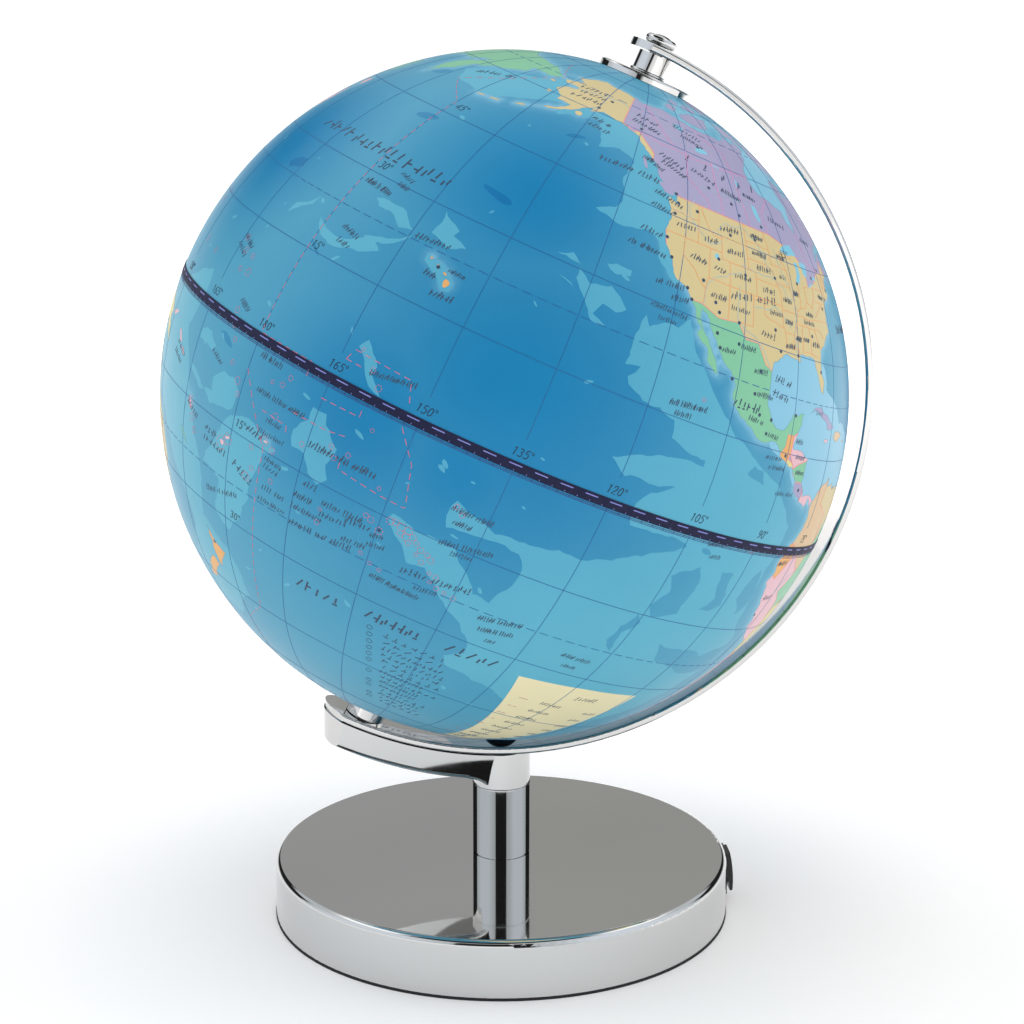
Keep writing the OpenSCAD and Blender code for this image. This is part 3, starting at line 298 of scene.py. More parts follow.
# ocean floor in a lighter blue
RISES = (
    ((-116.5, 29.5), (-118.5, 27.5), (-121, 27.5), (-123.5, 26), (-124.5, 27.5), (-125, 25), (-125.5, 19.5),
     (-123, 20), (-124.5, 18), (-124, 17), (-121, 15.5), (-118, 15.5), (-115, 14.5), (-114.5, 12),
     (-107.5, 10.5), (-107.5, 9.5), (-112.5, 9.5), (-119, 8), (-122.5, 6.5), (-121, 5.5), (-119.5, 4.5),
     (-118, 5), (-111, 5.5), (-114.5, 3.5), (-116, 1.5), (-116.5, 0), (-115.5, -2), (-111.5, -2),
     (-104.5, -2.5), (-108.5, -4.5), (-114, -7), (-115.5, -8), (-120, -9.5), (-127.5, -10), (-133.5, -10.5),
     (-138.5, -9), (-140.5, -8), (-141, -9), (-140.5, -12.5), (-136.5, -12), (-131.5, -11.5), (-129, -12),
     (-127.5, -14), (-127.5, -16.5), (-129, -19.5), (-129.5, -21.5), (-132.5, -21), (-134, -19),
     (-136.5, -17), (-140, -15), (-143, -15), (-146, -14.5), (-148.5, -14), (-149, -15), (-146.5, -17.5),
     (-144, -20.5), (-141, -20), (-138, -22.5), (-135.5, -25), (-132, -27), (-129.5, -29.5),
     (-128.5, -32.5), (-131.5, -34.5), (-130.5, -36.5), (-124, -38), (-119, -38.5), (-112, -42),
     (-100, -45), (-90, -43), (-84, -38), (-80, -30), (-77, -20), (-82, -13), (-84, -4), (-83, 4), (-88, 8),
     (-96, 12), (-103, 15), (-108, 19), (-112, 23)),
    ((-158, 55), (-153, 57), (-147, 58), (-145, 55), (-144, 52), (-139, 53.5), (-134.5, 52), (-136, 48),
     (-134.5, 43.5), (-135.5, 42), (-139, 40.5), (-134.5, 39.5), (-127.5, 40.5), (-125.5, 39.5), (-125, 37),
     (-123, 35.5), (-120.5, 33.5), (-119, 36), (-122, 42), (-122, 49), (-130, 56), (-138, 60), (-150, 61),
     (-158, 59)),
    ((-137.5, 30), (-135, 28.5), (-131.5, 29.5), (-128, 27), (-129.5, 26), (-132, 26.5), (-133, 24.5),
     (-130.5, 23.5), (-133, 23.5), (-135, 26), (-137.5, 28.5)),
    ((-142, 31), (-139.5, 32), (-136.5, 30.5), (-139, 30.8)), ((-140.5, 28), (-138, 27.5), (-136.5, 26.5)),
    ((-133.5, 32.5), (-132, 33.1), (-129, 33), (-129, 32), (-131.5, 31.5)),
    ((-174.5, 26.5), (-172, 27), (-168, 26.7), (-165, 24.6), (-167.5, 24), (-170, 25.5), (-173, 25.5)),
    ((-181.5, 20), (-178, 18.7), (-175.5, 18.5), (-173, 19.5), (-170.5, 21), (-168, 19.5), (-170, 18.5),
     (-174.5, 17.2), (-177, 17), (-180, 18)),
    ((-172, 20.5), (-168, 21.7), (-164.5, 23.8), (-167.5, 21), (-170.5, 20.3)),
    ((-160.5, 22.6), (-157, 22), (-154.5, 20), (-154.5, 18.6), (-155.8, 18.4), (-157.5, 20), (-160.5, 21.4)),
    ((-162, 29.5), (-160.5, 28.5), (-158, 27.5), (-158.5, 26.5), (-155.5, 25.5), (-158.5, 24.3),
     (-162, 25.5), (-161.5, 27.5)),
    ((-162, 7.5), (-160.5, 6), (-159, 4.5), (-159.5, 3.5), (-156.8, 0.8), (-159, 1.5), (-161, 4), (-163, 6)),
    ((-166, -5), (-163.5, -5), (-163, -6.5), (-162, -7), (-160, -9), (-161, -12), (-160, -14),
     (-161.5, -15.5), (-163.5, -14.5), (-165, -12), (-167.5, -12), (-168, -9.5), (-166, -7)),
    ((-181, -13), (-175.5, -12), (-173, -13), (-170, -14), (-172.5, -15.5), (-173, -18.5), (-174, -24),
     (-179, -32), (-183, -30), (-182, -24), (-187, -23), (-185, -19.5)),
    ((164.5, -10), (168.5, -11), (173, -13.5), (179, -12), (179.5, -9), (178, -7.5), (175, -7.5),
     (172.5, -9.5), (173, -11.5), (169, -12.5)),
    ((165.5, -4), (168.5, -3.5), (171, -5), (170, -6), (165.5, -5.5)),
    ((171, 18), (171.5, 20), (174, 21), (175.5, 22.7), (175, 21), (172.5, 19.3)),
    ((142, -11), (150, -1), (161, 4.5), (162, 0), (160, -5), (166, -14), (172, -24), (172, -33), (180, -36),
     (184, -44), (176, -52), (166, -52), (162, -44), (167, -36), (160, -28), (152, -20)),
    ((-195, 56), (-185, 60), (-172, 63), (-166, 66), (-160, 58), (-170, 54.5), (-180, 52), (-190, 53)),
    ((-35, 62), (-24, 60), (-27, 52), (-31, 44), (-37, 34), (-44, 25), (-43, 15), (-32, 4), (-12, -2),
     (-12, -20), (-10, -38), (-2, -48), (-12, -52), (-18, -40), (-19, -20), (-20, -4), (-36, 0), (-50, 16),
     (-51, 26), (-44, 38), (-36, 48), (-38, 56)),
    ((60, 15), (66, 5), (72, -15), (72, -30), (85, -38), (110, -48), (140, -52), (140, -56), (105, -53),
     (75, -45), (60, -35), (40, -45), (30, -52), (28, -47), (48, -38), (64, -25), (60, 2)),
    ((85, 12), (91, 8), (91, -25), (87, -30), (86, -10)), ((52, -6), (62, -4), (61, -14), (54, -20)))
TROUGHS = (
    ((-100, -5), (-98.5, -7.5), (-99, -13.5), (-103.5, -15), (-105, -13), (-103, -10), (-104.5, -7.5)),
    ((-106, -15), (-104.5, -16.5), (-106.5, -19), (-106, -23), (-108, -21), (-107.5, -18)),
    ((-95, -5), (-92, -5), (-92, -7), (-90.5, -10.5), (-93, -12), (-95, -12), (-93, -9.5)),
    ((-85, -3.5), (-83.5, -7.5), (-83.5, -10.5), (-85, -12), (-87.5, -9), (-86.5, -5)),
    ((-98, 12), (-95, 11.5), (-94, 9.5), (-97, 10), (-98.5, 10.5)), (-100.5, -2.4, 1.1, 0.45, -10),
    ((-97.5, -19.5), (-84, -21), (-78, -18), (-77, -24), (-87, -25), (-95.5, -23)))
# the pale gulfs and the great bay of the north
SHALLOWS = (
    ((-98, 31), (-90, 32), (-82, 31), (-79.5, 29), (-79, 26), (-75, 24.5), (-71, 21), (-64, 19.5), (-61, 17),
     (-60.5, 11), (-75, 7), (-84, 8.5), (-90, 14), (-99, 18)),
    ((-97, 49), (-76, 49), (-66, 58), (-76, 67), (-92, 70), (-99, 62)))
DEEPS = ((161.9, 52.8, 3.2, 1, 35), (178.7, 42.7, 3, 0.8, 10), (-156, 35.4, 3.4, 0.7, -10),
         (163, 25.3, 2.6, 1, 20), (-178.5, 15.5, 1.8, 0.25, -30), (173, -3, 2, 0.6, -20),
         (-150, 52, 2.4, 0.5, 20))
# middles of the deep basins: longitude, latitude, radius in degrees; the first two lie round the middle of the
# ball as seen and paint shade there, the rest are sea depth
BASINS_AND_SHADE_SPOTS = ((-138, 8, 27), (-142, -3, 13), (-157, -2, 16), (-150, 38, 16), (-30, 28, 12), (-20, -25, 14),
          (80, -15, 18), (155, 28, 12), (-50, 20, 10))
PANEL = ((-117, -33.3), (-103, -32.4), (-89, -32.1), (-92, -48), (-97, -64.5), (-108.7, -64.5))

STATE_LINES = (
    ((-124, 46.2), (-119, 45.9), (-117, 46)), ((-117, 49), (-117, 42)), ((-124.2, 42), (-111, 42)),
    ((-120, 42), (-120, 39), (-114.6, 35), (-114.7, 32.7)), ((-114, 42), (-114, 37), (-114.6, 35)),
    ((-114, 37), (-94.6, 37)), ((-109, 41), (-109, 31.4)), ((-111, 45), (-111, 41), (-102, 41)),
    ((-111, 45), (-104, 45)), ((-116, 49), (-116, 48), (-114.5, 45.6), (-113, 44.5), (-111, 44.5)),
    ((-104, 49), (-104, 41)), ((-102, 41), (-102, 37)), ((-104, 43), (-98.5, 43), (-96.5, 42.5)),
    ((-104, 46), (-96.6, 45.9)), ((-102, 40), (-95.3, 40)),
    ((-103, 37), (-103, 36.5), (-100, 36.5), (-100, 34.6), (-96, 33.8), (-94.4, 33.6)),
    ((-103, 36.5), (-103, 32), (-106.6, 32)), ((-97.2, 49), (-96.6, 46), (-96.5, 43.5), (-91.2, 43.5)),
    ((-92.3, 46.7), (-92.8, 45), (-91.2, 43.5), (-90.6, 42), (-91.2, 40.6), (-90.2, 38.7), (-89.2, 37),
     (-90, 35), (-91.1, 33), (-91.6, 31), (-89.7, 31), (-89.6, 30.2)),
    ((-95.8, 40.6), (-91.5, 40.6)), ((-96.5, 42.5), (-95.8, 40.6), (-94.6, 39.1), (-94.6, 36.5),
     (-90.1, 36.5)),
    ((-94.6, 36.5), (-94.4, 33.6), (-94, 33), (-93.8, 31), (-93.7, 29.8)), ((-94, 33), (-91.2, 33)),
    ((-87.5, 41.7), (-87.5, 39), (-88, 37.8)), ((-84.8, 41.7), (-84.8, 39.1)),
    ((-89.2, 37), (-88, 37.8), (-86, 38), (-84.8, 39.1), (-82.6, 38.4), (-80.6, 40.6), (-80.5, 42)),
    ((-89.4, 36.5), (-81.7, 36.6), (-76, 36.5)), ((-90, 35), (-84.3, 35), (-81, 35.1), (-78.6, 33.9)),
    ((-88.2, 35), (-88.4, 30.3)), ((-85.6, 35), (-85, 32), (-85, 31)), ((-87.6, 31), (-85, 31), (-82, 30.6)),
    ((-83.1, 35), (-81, 32.1)), ((-81.7, 37.2), (-78, 39.4), (-77, 38.5)), ((-80.5, 39.7), (-75.8, 39.7)),
    ((-79.8, 42), (-75.3, 42), (-74.7, 41.4)), ((-73.4, 45), (-73.3, 42.7), (-73.5, 41)),
    ((-73.3, 42.7), (-71, 42.8)), ((-71.5, 45), (-72.4, 42.8)), ((-71, 45.3), (-70.8, 43)),
    ((-84.8, 41.7), (-82.8, 41.7)), ((-90.4, 46.5), (-88, 45.8)))
PROVINCE_LINES = (
    ((-114, 49), (-114.5, 51), (-120, 54), (-120, 60)), ((-110, 49), (-110, 60)), ((-101.5, 49), (-102, 60)),
    ((-95.2, 49), (-95.2, 52.8), (-89, 56.8)), ((-139, 60), (-94.7, 60)),
    ((-124, 60), (-128, 63), (-132, 66), (-136, 69)), ((-102, 60), (-102, 64), (-110, 65.5), (-115, 68)),
    ((-79.5, 51.5), (-79.5, 47), (-76, 45.4), (-74.5, 45.2)),
    ((-57, 51.5), (-64, 52), (-67, 54), (-64, 58), (-64.5, 60.3)))
RIVERS = (
    ((-112, 45.8), (-109.5, 47.7), (-104, 48), (-101, 46.8), (-98, 42.9), (-95.8, 41), (-92, 38.7),
     (-90.2, 38.7)),
    ((-94.5, 46.5), (-90.2, 38.7), (-89.2, 37), (-91.1, 33), (-90, 29.6)),
    ((-106, 40), (-110, 38.3), (-114, 36.1), (-114.7, 32.6)),
    ((-106.5, 37.6), (-106.6, 32), (-101, 29.6), (-97.4, 26)),
    ((-118, 51), (-119.5, 48), (-119, 46), (-123.5, 46.2)),
    ((-111, 44), (-114, 42.8), (-117, 44.5), (-118.8, 46)),
    ((-117, 61), (-123, 62), (-127, 65.5), (-135, 68.7)),
    ((-135, 61), (-139, 64), (-146, 66.3), (-158, 64.5), (-163.8, 62.8)),
    ((-103, 35), (-97, 36.5), (-92, 34)), ((-106, 41.3), (-100, 41), (-96, 41)),
    ((-116, 53), (-105, 53.2), (-98.5, 53.5)), ((-60, -3), (-66, -3.3), (-73, -4.5), (-75, -8)),
    ((-60, -3), (-51, -1)), ((31, 30), (31, 24), (33, 17), (31, 5), (32, 0)))
# greeked place marks: from, to, height in degrees, the number of marks in each word
PLACE_MARKS = (
    ((157, 33.5), (169, 33.8), 2.1, "5"), ((169.5, 33.5), (184, 33.8), 2.1, "7"),
    ((-175.5, 33.5), (-164.6, 33.8), 2.1, "5"), ((-162.3, -33.5), (-152.6, -33.3), 2.1, "5"),
    ((-147.9, -32.7), (-136.9, -32.6), 2.1, "7"), ((-132.5, -32.5), (-122, -32.4), 2.1, "5"),
    ((-144.7, -21.9), (-132.8, -20.8), 1.2, "6 9"), ((-141.5, -24), (-137.5, -23.6), 0.9, "8"),
    ((-164.9, -10.1), (-153, -9.9), 1.3, "8 4 7"), ((-164.4, 24.1), (-157.9, 24.7), 1.1, "9"),
    ((-159.6, 20), (-157.4, 19.8), 1.1, "4"), ((-157.2, 17.6), (-153.4, 17.8), 1.2, "6"),
    ((-156.3, 21.6), (-153.2, 21.5), 0.8, "8"), ((-176.5, 20.6), (-172.6, 19.8), 1, "8"),
    ((-176, 18.4), (-173, 18), 1, "5"), ((-179, 28.5), (-172.8, 28), 1.1, "6 2 6"),
    ((-174, 32), (-170.8, 31.2), 0.9, "6"), ((-173, 30.2), (-170.5, 29.8), 0.9, "7"),
    ((-160, 3.4), (-152.5, 4.6), 1, "18"), ((-178.5, -2), (-173.6, -2), 1.1, "3 7"),
    ((-177, -6.8), (-167, -7), 1, "7 7 7"), ((-173.5, -10.3), (-170.3, -10.4), 0.9, "7"),
    ((-174.5, -12.4), (-169, -12.4), 0.8, "12"), ((-177, -13), (-173.3, -13.4), 1.3, "5"),
    ((-172, -15.8), (-168.4, -16.2), 0.9, "8"), ((-172, -17), (-168.8, -17.4), 0.9, "5"),
    ((-178.7, -19.5), (-173.7, -21.2), 1.3, "5"), ((172.8, -17.1), (176.4, -17.6), 1.2, "4"),
    ((172.4, -18.8), (179.4, -19.4), 1.2, "7"), ((174, -27), (183, -24.8), 1, "6 2 8"),
    ((-171.5, -20.4), (-166.6, -20.6), 0.9, "4 4"), ((-172, -22.6), (-166, -22.6), 0.9, "11"),
    ((-164, -16.2), (-161.2, -16.2), 1.1, "4"), ((-165, -18.6), (-161.6, -18.6), 1.1, "7"),
    ((-165.3, -20.6), (-159, -20.6), 1, "12"), ((-160, -17.6), (-152.6, -17.4), 1.1, "7 7"),
    ((-160, -19.6), (-155, -19.2), 1, "8"), ((-155.5, -18.4), (-151, -18), 1.1, "6"),
    ((-165, -23.4), (-153, -22.6), 1.1, "8 4 7"), ((-155.2, -21.6), (-151, -21.2), 1, "4 4"),
    ((-151, -18.8), (-148.6, -18.4), 0.9, "6"), ((-151, -20.4), (-148, -20), 0.9, "7"),
    ((-141, -9.2), (-134.3, -9.3), 1, "9 7"), ((-140, -11.2), (-137, -11.2), 0.9, "8"),
    ((-140.8, -15), (-132.3, -13.7), 1, "7 11"), ((-138.5, -16), (-135, -15.6), 0.9, "8"),
    ((-149, -25.2), (-140, -25.6), 1, "7 15"), ((-130, -24.6), (-122.6, -23.4), 1, "6 9"),
    ((-129, -26.6), (-123, -25.6), 1, "8 6"), ((-127, -28.4), (-125, -28), 0.9, "4"),
    ((-113.4, -26.1), (-107.4, -26.2), 0.9, "6 7"), ((-112, -28.2), (-109, -28.2), 0.8, "7"),
    ((-116.8, 16.9), (-109.9, 17.5), 1, "5 14"), ((-115.6, 15.6), (-112.4, 15.8), 0.9, "8"),
    ((-101, -1.2), (-96.5, -0.6), 0.8, "9 6"), ((-99.6, -3), (-97, -2.8), 0.8, "7"),
    ((-142.7, 50), (-127.5, 50.3), 1.2, "9 6"), ((-149.6, 58.3), (-143.6, 57.8), 1.1, "4 2"),
    ((-149.8, 56.4), (-143, 55.9), 1.1, "6"), ((169.4, 56.6), (181.5, 59.4), 1.2, "6 3"),
    ((-161.5, 65.6), (-151, 66.2), 1.2, "6"), ((-160, 64), (-150, 64.4), 1.1, "6"),
    ((-161, 62), (-150, 62.6), 1.2, "6"), ((-128.4, 48.4), (-121.3, 47.2), 1.1, "10"),
    ((-128.6, 45.8), (-123.6, 45.2), 1, "8"), ((-129.8, 40.8), (-125, 40.6), 1.1, "6"),
    ((-131.4, 37.8), (-123.6, 37.5), 1.1, "3 9"), ((-124.6, 33.3), (-118.8, 33.7), 1, "3 7"),
    ((-121, 31.7), (-117.6, 32), 1, "7"), ((-122.5, 43.9), (-117.6, 44.3), 1.1, "6"),
    ((-115.8, 43.3), (-112, 43.6), 1.1, "5"), ((-111.5, 46.4), (-106, 47), 1.1, "7"),
    ((-118.6, 39.6), (-114.6, 39.2), 1.1, "6"), ((-113, 39.3), (-110.2, 39), 1.1, "4"),
    ((-110, 42.8), (-105.2, 43.2), 1, "7"), ((-108, 39.2), (-103.4, 39.3), 0.9, "8"),
    ((-101.8, 42), (-97.2, 42.2), 1, "8"), ((-109, 35.6), (-96.6, 37.3), 1.3, "6 6"),
    ((-100.4, 38.7), (-96.6, 38.8), 1, "6"), ((-113.4, 34.6), (-109.6, 34.6), 1, "7"),
    ((-108.6, 33.8), (-104, 34), 0.9, "3 6"), ((-98.6, 35.4), (-94.8, 35.6), 0.9, "8"),
    ((-101, 31.7), (-97, 31.6), 1.1, "5"), ((-102.2, 47.4), (-98, 47.4), 0.9, "12"),
    ((-102.6, 44.4), (-98, 44.4), 0.9, "12"), ((-94, 45.6), (-91, 45.4), 0.9, "9"),
    ((-94.6, 42), (-92, 42), 0.9, "4"), ((-94, 38.4), (-91.2, 38.2), 0.9, "8"),
    ((-94, 34.8), (-91.6, 34.8), 0.9, "8"), ((-94, 31), (-91, 31.2), 0.9, "9"),
    ((-90.6, 32.8), (-88.8, 32.6), 0.9, "8"), ((-88, 33), (-85.8, 33), 0.9, "7"),
    ((-84.6, 32.6), (-81.6, 32.6), 0.9, "7"), ((-87.4, 35.8), (-83, 35.8), 0.8, "9"),
    ((-90, 40), (-88, 40), 0.9, "8"), ((-86, 37.2), (-83, 37.2), 0.8, "8"),
    ((-78, 41), (-75.6, 40.6), 0.8, "8"),
    ((-138, 64.5), (-130, 63.6), 1.2, "5"), ((-139, 62.6), (-129, 61.5), 1.2, "9"),
    ((-128.6, 56.8), (-121.4, 55.2), 1.2, "7"), ((-127.6, 55.2), (-120.6, 53.6), 1.2, "8"),
    ((-124, 66), (-112, 64.6), 1.1, "9"), ((-121, 64), (-112, 62.8), 1, "11"),
    ((-118.8, 56.4), (-111.4, 54.8), 1.1, "7"),
    ((-109.4, 54.4), (-102.6, 53.6), 1, "12"), ((-101, 55.6), (-96, 55), 1, "8"),
    ((-120.6, 58.6), (-118.8, 58.4), 1.6, "1"), ((-114.6, 58), (-112.8, 57.8), 1.6, "1"),
    ((-108.4, 57.3), (-106.6, 57.2), 1.6, "1"), ((-102.2, 57), (-100.4, 56.8), 1.6, "1"),
    ((-96.4, 57.6), (-94.4, 57.4), 1.6, "1"), ((-132.8, 54.4), (-127, 53), 1, "6 6"),
    ((-93, 52.4), (-86, 51.6), 1, "7"), ((-78, 50.6), (-72, 50), 1, "6"),
    ((-105.5, 20.1), (-99.3, 20.1), 1.5, "6"), ((-96.6, 25.6), (-92, 25.2), 1.1, "4 2"),
    ((-96.6, 23.4), (-92.4, 22.8), 1.1, "6"), ((-105.6, 28.4), (-102, 28.6), 0.9, "9"),
    ((-109.5, 27), (-106.6, 27.2), 0.9, "7"), ((-102, 25.6), (-98.6, 25.8), 0.9, "9"),
    ((-100.6, 22.4), (-96.6, 22.4), 0.9, "12"), ((-101.4, 18.6), (-98, 18.4), 0.9, "6 2"),
    ((-96.2, 17), (-93.6, 16.8), 0.8, "7"), ((-95.6, 13.8), (-91.4, 14), 0.8, "9"),
    ((-94.4, 12.4), (-90, 12.6), 0.8, "2 8"), ((-88.4, 17.2), (-86.2, 17.2), 0.9, "6"),
    ((-87.6, 14.9), (-84.6, 14.9), 0.9, "8"), ((-86.6, 12.6), (-83.8, 12.6), 0.8, "9"),
    ((-90.6, 8.8), (-85.6, 9), 0.8, "5 4"), ((-83, 22.2), (-80, 22.2), 0.8, "4"),
    ((-80.8, -2.3), (-77.4, -2), 0.9, "7"), ((-78.6, -8.6), (-75.4, -8.4), 1.1, "4"),
    ((-124.4, 29.6), (-117.4, 29.4), 0.9, "9 6"), ((-122.6, 28), (-119, 28), 0.8, "8"),
    ((165, 12), (168.6, 10.6), 1, "8"), ((164.4, 10.4), (168, 9), 1, "7"),
    ((172.6, 3.4), (175.4, 2.4), 1, "7"),
    ((170.4, -5.6), (173.8, -6.8), 1, "6"), ((157, -8.4), (161.6, -9.8), 1, "7"),
    ((156.4, -10), (160.4, -11.2), 1, "7"),
    ((166, -15.4), (170, -17), 1, "7"), ((-64, -10), (-50, -12), 1.8, "6"), ((100, 60), (130, 62), 2.2, "6"),
    ((88, 36), (112, 34), 2, "5"), ((74, 24), (82, 20), 1.5, "5"), ((122, -25), (145, -25), 2.1, "9"),
    ((-35, 32), (-50, 30), 2, "8"), ((-30, -20), (-10, -20), 2, "5 8"), ((70, -18), (92, -18), 2.1, "6 5"),
    ((5, 24), (20, 22), 1.6, "7"), ((20, 6), (30, 4), 1.4, "6"), ((-72, -36), (-62, -36), 1.2, "9"),
    ((0, -76), (40, -76), 2, "10"), ((-70, 36), (-58, 36), 1.4, "5 8"))
CITIES = (
    (-122.9, 45.5), (-123.9, 40.8), (-122.3, 37.8), (-118.2, 34), (-117, 32.5), (-112, 33.5), (-111, 32.2),
    (-115.1, 36.2), (-111.9, 40.7), (-105, 39.8), (-106.4, 31.8), (-97, 32.8), (-95.4, 29.8), (-90, 30),
    (-87.6, 41.8), (-96, 41.3), (-122.3, 47.7), (-117.4, 47.6), (-108.5, 45.8), (-100.8, 46.8), (-123, 49.3),
    (-113.5, 53.5), (-106.6, 52.1), (-104.6, 50.4), (-97.1, 49.9), (-130.3, 54.3), (-135, 60.7),
    (-114.4, 62.5),
    (-147.7, 64.8), (-149.9, 61.3), (-110.9, 29), (-106, 28.6), (-109.9, 27), (-100.3, 25.7), (-101, 22.2),
    (-106.4, 23.2), (-96.1, 19.2), (-96.7, 17), (-89.6, 20.9), (-99.1, 19.4), (-90.5, 14.6), (-84, 9.9),
    (-157.9, 21.3), (-149.6, -17.5), (-77, -12), (-79.9, -2.2), (-81.4, 28.5), (-84.4, 33.8), (-77, 38.9),
    (-74, 40.7), (-71, 42.3), (-73.6, 45.5), (-79.4, 43.7), (2.3, 48.9), (-0.1, 51.5), (13.4, 52.5),
    (37.6, 55.7), (12.5, 41.9), (31.2, 30), (28, -26), (3.4, 6.5), (36.8, -1.3), (77.2, 28.6), (72.8, 19),
    (116.4, 39.9), (121.5, 31.2), (139.7, 35.7), (100.5, 13.8), (106.8, -6.2), (151.2, -33.9), (145, -37.8),
    (115.9, -32), (174.8, -36.9), (-43.2, -22.9), (-58.4, -34.6), (-70.7, -33.5), (-66.9, 10.5))
# small islands marked by a dotted ring: longitude, latitude, half width
ATOLLS = (
    (166, 11.5, 0.5), (167.5, 9.8, 0.5), (171, 7.2, 0.6), (168.6, 7, 0.4), (170, 9.6, 0.4), (172.8, 1.6, 0.5),
    (173.6, -0.6, 0.4), (175, -2.4, 0.4), (176.2, -5.6, 0.4), (178.6, -7.6, 0.6), (179.4, -9.4, 0.4),
    (-171.4, -2.9, 0.4), (-172.4, -4.4, 0.4), (-174.4, -4.8, 0.3), (-171.8, -9.2, 0.5), (-172.6, -13.6, 0.7),
    (-170.7, -14.3, 0.5), (-175, -15.6, 0.4), (177.8, -18, 1.1), (179.4, -16.8, 0.9), (-175.2, -20.6, 0.7),
    (-174.2, -18.8, 0.4), (167, -15.4, 0.9), (168.2, -17.6, 0.7), (169.2, -19.4, 0.5), (-169.8, -19, 0.4),
    (-161, -9, 0.4), (-160, -10.4, 0.4), (-165.8, -10.9, 0.4), (-158, -9, 0.4), (-157.5, 1.9, 0.5),
    (-159.4, 3.9, 0.4), (-162.1, 5.9, 0.3), (-155.9, -4, 0.3), (-151.8, -11.4, 0.3), (-159.8, -21.2, 0.4),
    (-159.8, -18.9, 0.3), (-151.4, -16.5, 0.5), (-152.3, -16.2, 0.4), (-149.6, -17.6, 0.6),
    (-148.5, -15.3, 0.6),
    (-147.6, -15.1, 0.5), (-146.6, -15.4, 0.6), (-145.4, -15.5, 0.6), (-146.4, -16.4, 0.5),
    (-145.4, -16.6, 0.6),
    (-144.4, -16.2, 0.5), (-143.6, -16.8, 0.4), (-144.8, -17.4, 0.4), (-142.6, -17.6, 0.5),
    (-141.4, -17.9, 0.4),
    (-140.6, -18.5, 0.5), (-143, -18.6, 0.3), (-141.8, -19.4, 0.4), (-140, -20.6, 0.3), (-138.8, -20.8, 0.4),
    (-139.4, -22, 0.3), (-138, -22.6, 0.4), (-136.6, -22.8, 0.3), (-134.9, -23.1, 0.4), (-140.2, -8.9, 0.4),
    (-139, -9.8, 0.4), (-151.3, -22.4, 0.3), (-149.4, -23.4, 0.3), (-147.6, -23.8, 0.3), (-110.9, 18.8, 0.3),
    (-90.6, -0.6, 0.5), (144.8, 13.5, 0.4), (145.7, 15.2, 0.3), (151.8, 7.4, 0.5), (158.2, 6.9, 0.4))
DATE_LINE = ((-180, 72), (-169, 65.7), (-180, 58), (-190, 53), (-180, 48), (-180, 5), (-180, 0.8),
             (-169, 0.8), (-169, -2.6))
DATE_LINE_SOUTH = ((-180, -5), (-172.5, -15), (-172.5, -45), (-180, -51), (-180, -66))
ISLAND_BOXES = (
    ((-163.2, 5.4), (-153.5, 5), (-152, 0.8)), ((-164, 3.6), (-163.2, 5.4)), ((-164, 3.6), (-159.6, 3.5)),
    ((-152, -1.6), (-148.6, -6), (-147.1, -12.5), (-151.3, -12.4), (-158.9, -11.6), (-158.9, -9.6)),
    ((-165.3, -3.2), (-158.5, -3.1), (-158.5, -1.6)), ((-169, -7.2), (-162.8, -7.2), (-158, -6.4)),
    ((-174.6, -9.4), (-169.4, -9.6), (-169, -11.4)))

# ---- points on the ball ----------------------------------------------------------------------


def directions(lonlat):
    """Unit vectors in the map's own axes for an array of (longitude, latitude)."""
    lon, lat = np.radians(np.asarray(lonlat, float).reshape(-1, 2)).T
    return np.stack([np.cos(lat) * np.cos(lon), np.cos(lat) * np.sin(lon), np.sin(lat)], axis=1)


def placed(units, radius):
    """Points of the map's axes at a radius, in the row frame."""
    return GLOBE_CENTRE + (np.asarray(units) * np.reshape(radius, (-1, 1))) @ GLOBE_AXES.T


def broken(a, b, step, rough, rng):
    """Points from a up to b, b left out, wandering sideways as a coast does."""
    squeeze = max(0.25, math.cos(math.radians((a[1] + b[1]) / 2)))
    dx, dy = (b[0] - a[0]) * squeeze, b[1] - a[1]
    length = math.hypot(dx, dy)
    if length < step:
        return [a]
    shift = rng.uniform(-rough, rough)
    middle = ((a[0] + b[0]) / 2 - dy * shift / squeeze, (a[1] + b[1]) / 2 + dx * shift)
    return broken(a, middle, step, rough, rng) + broken(middle, b, step, rough, rng)


def ring_of(shape, step, rough, rng):
    """A closed outline from a data entry, broken up, with a point wherever it crosses the equator."""
    if isinstance(shape[0], tuple):
        corners = [tuple(map(float, p)) for p in shape]
    else:
        lon, lat, half_w, half_h, turn = shape
        squeeze = max(0.25, math.cos(math.radians(lat)))
        c, s = math.cos(math.radians(turn)), math.sin(math.radians(turn))
        corners = []
        for k in range(9):
            reach = rng.uniform(0.8, 1.15)
            u = half_w * reach * squeeze * math.cos(math.tau * k / 9)
            v = half_h * reach * math.sin(math.tau * k / 9)
            corners.append((lon + (u * c - v * s) / squeeze, lat + u * s + v * c))
    ring = []
    for a, b in zip(corners, corners[1:] + corners[:1]):
        ring += broken(a, b, step, rough, rng)
    crossed = []
    for a, b in zip(ring, ring[1:] + ring[:1]):
        crossed.append(a)
        if a[1] * b[1] < 0:
            t = a[1] / (a[1] - b[1])
            crossed.append((a[0] + t * (b[0] - a[0]), 0.0))
    return crossed


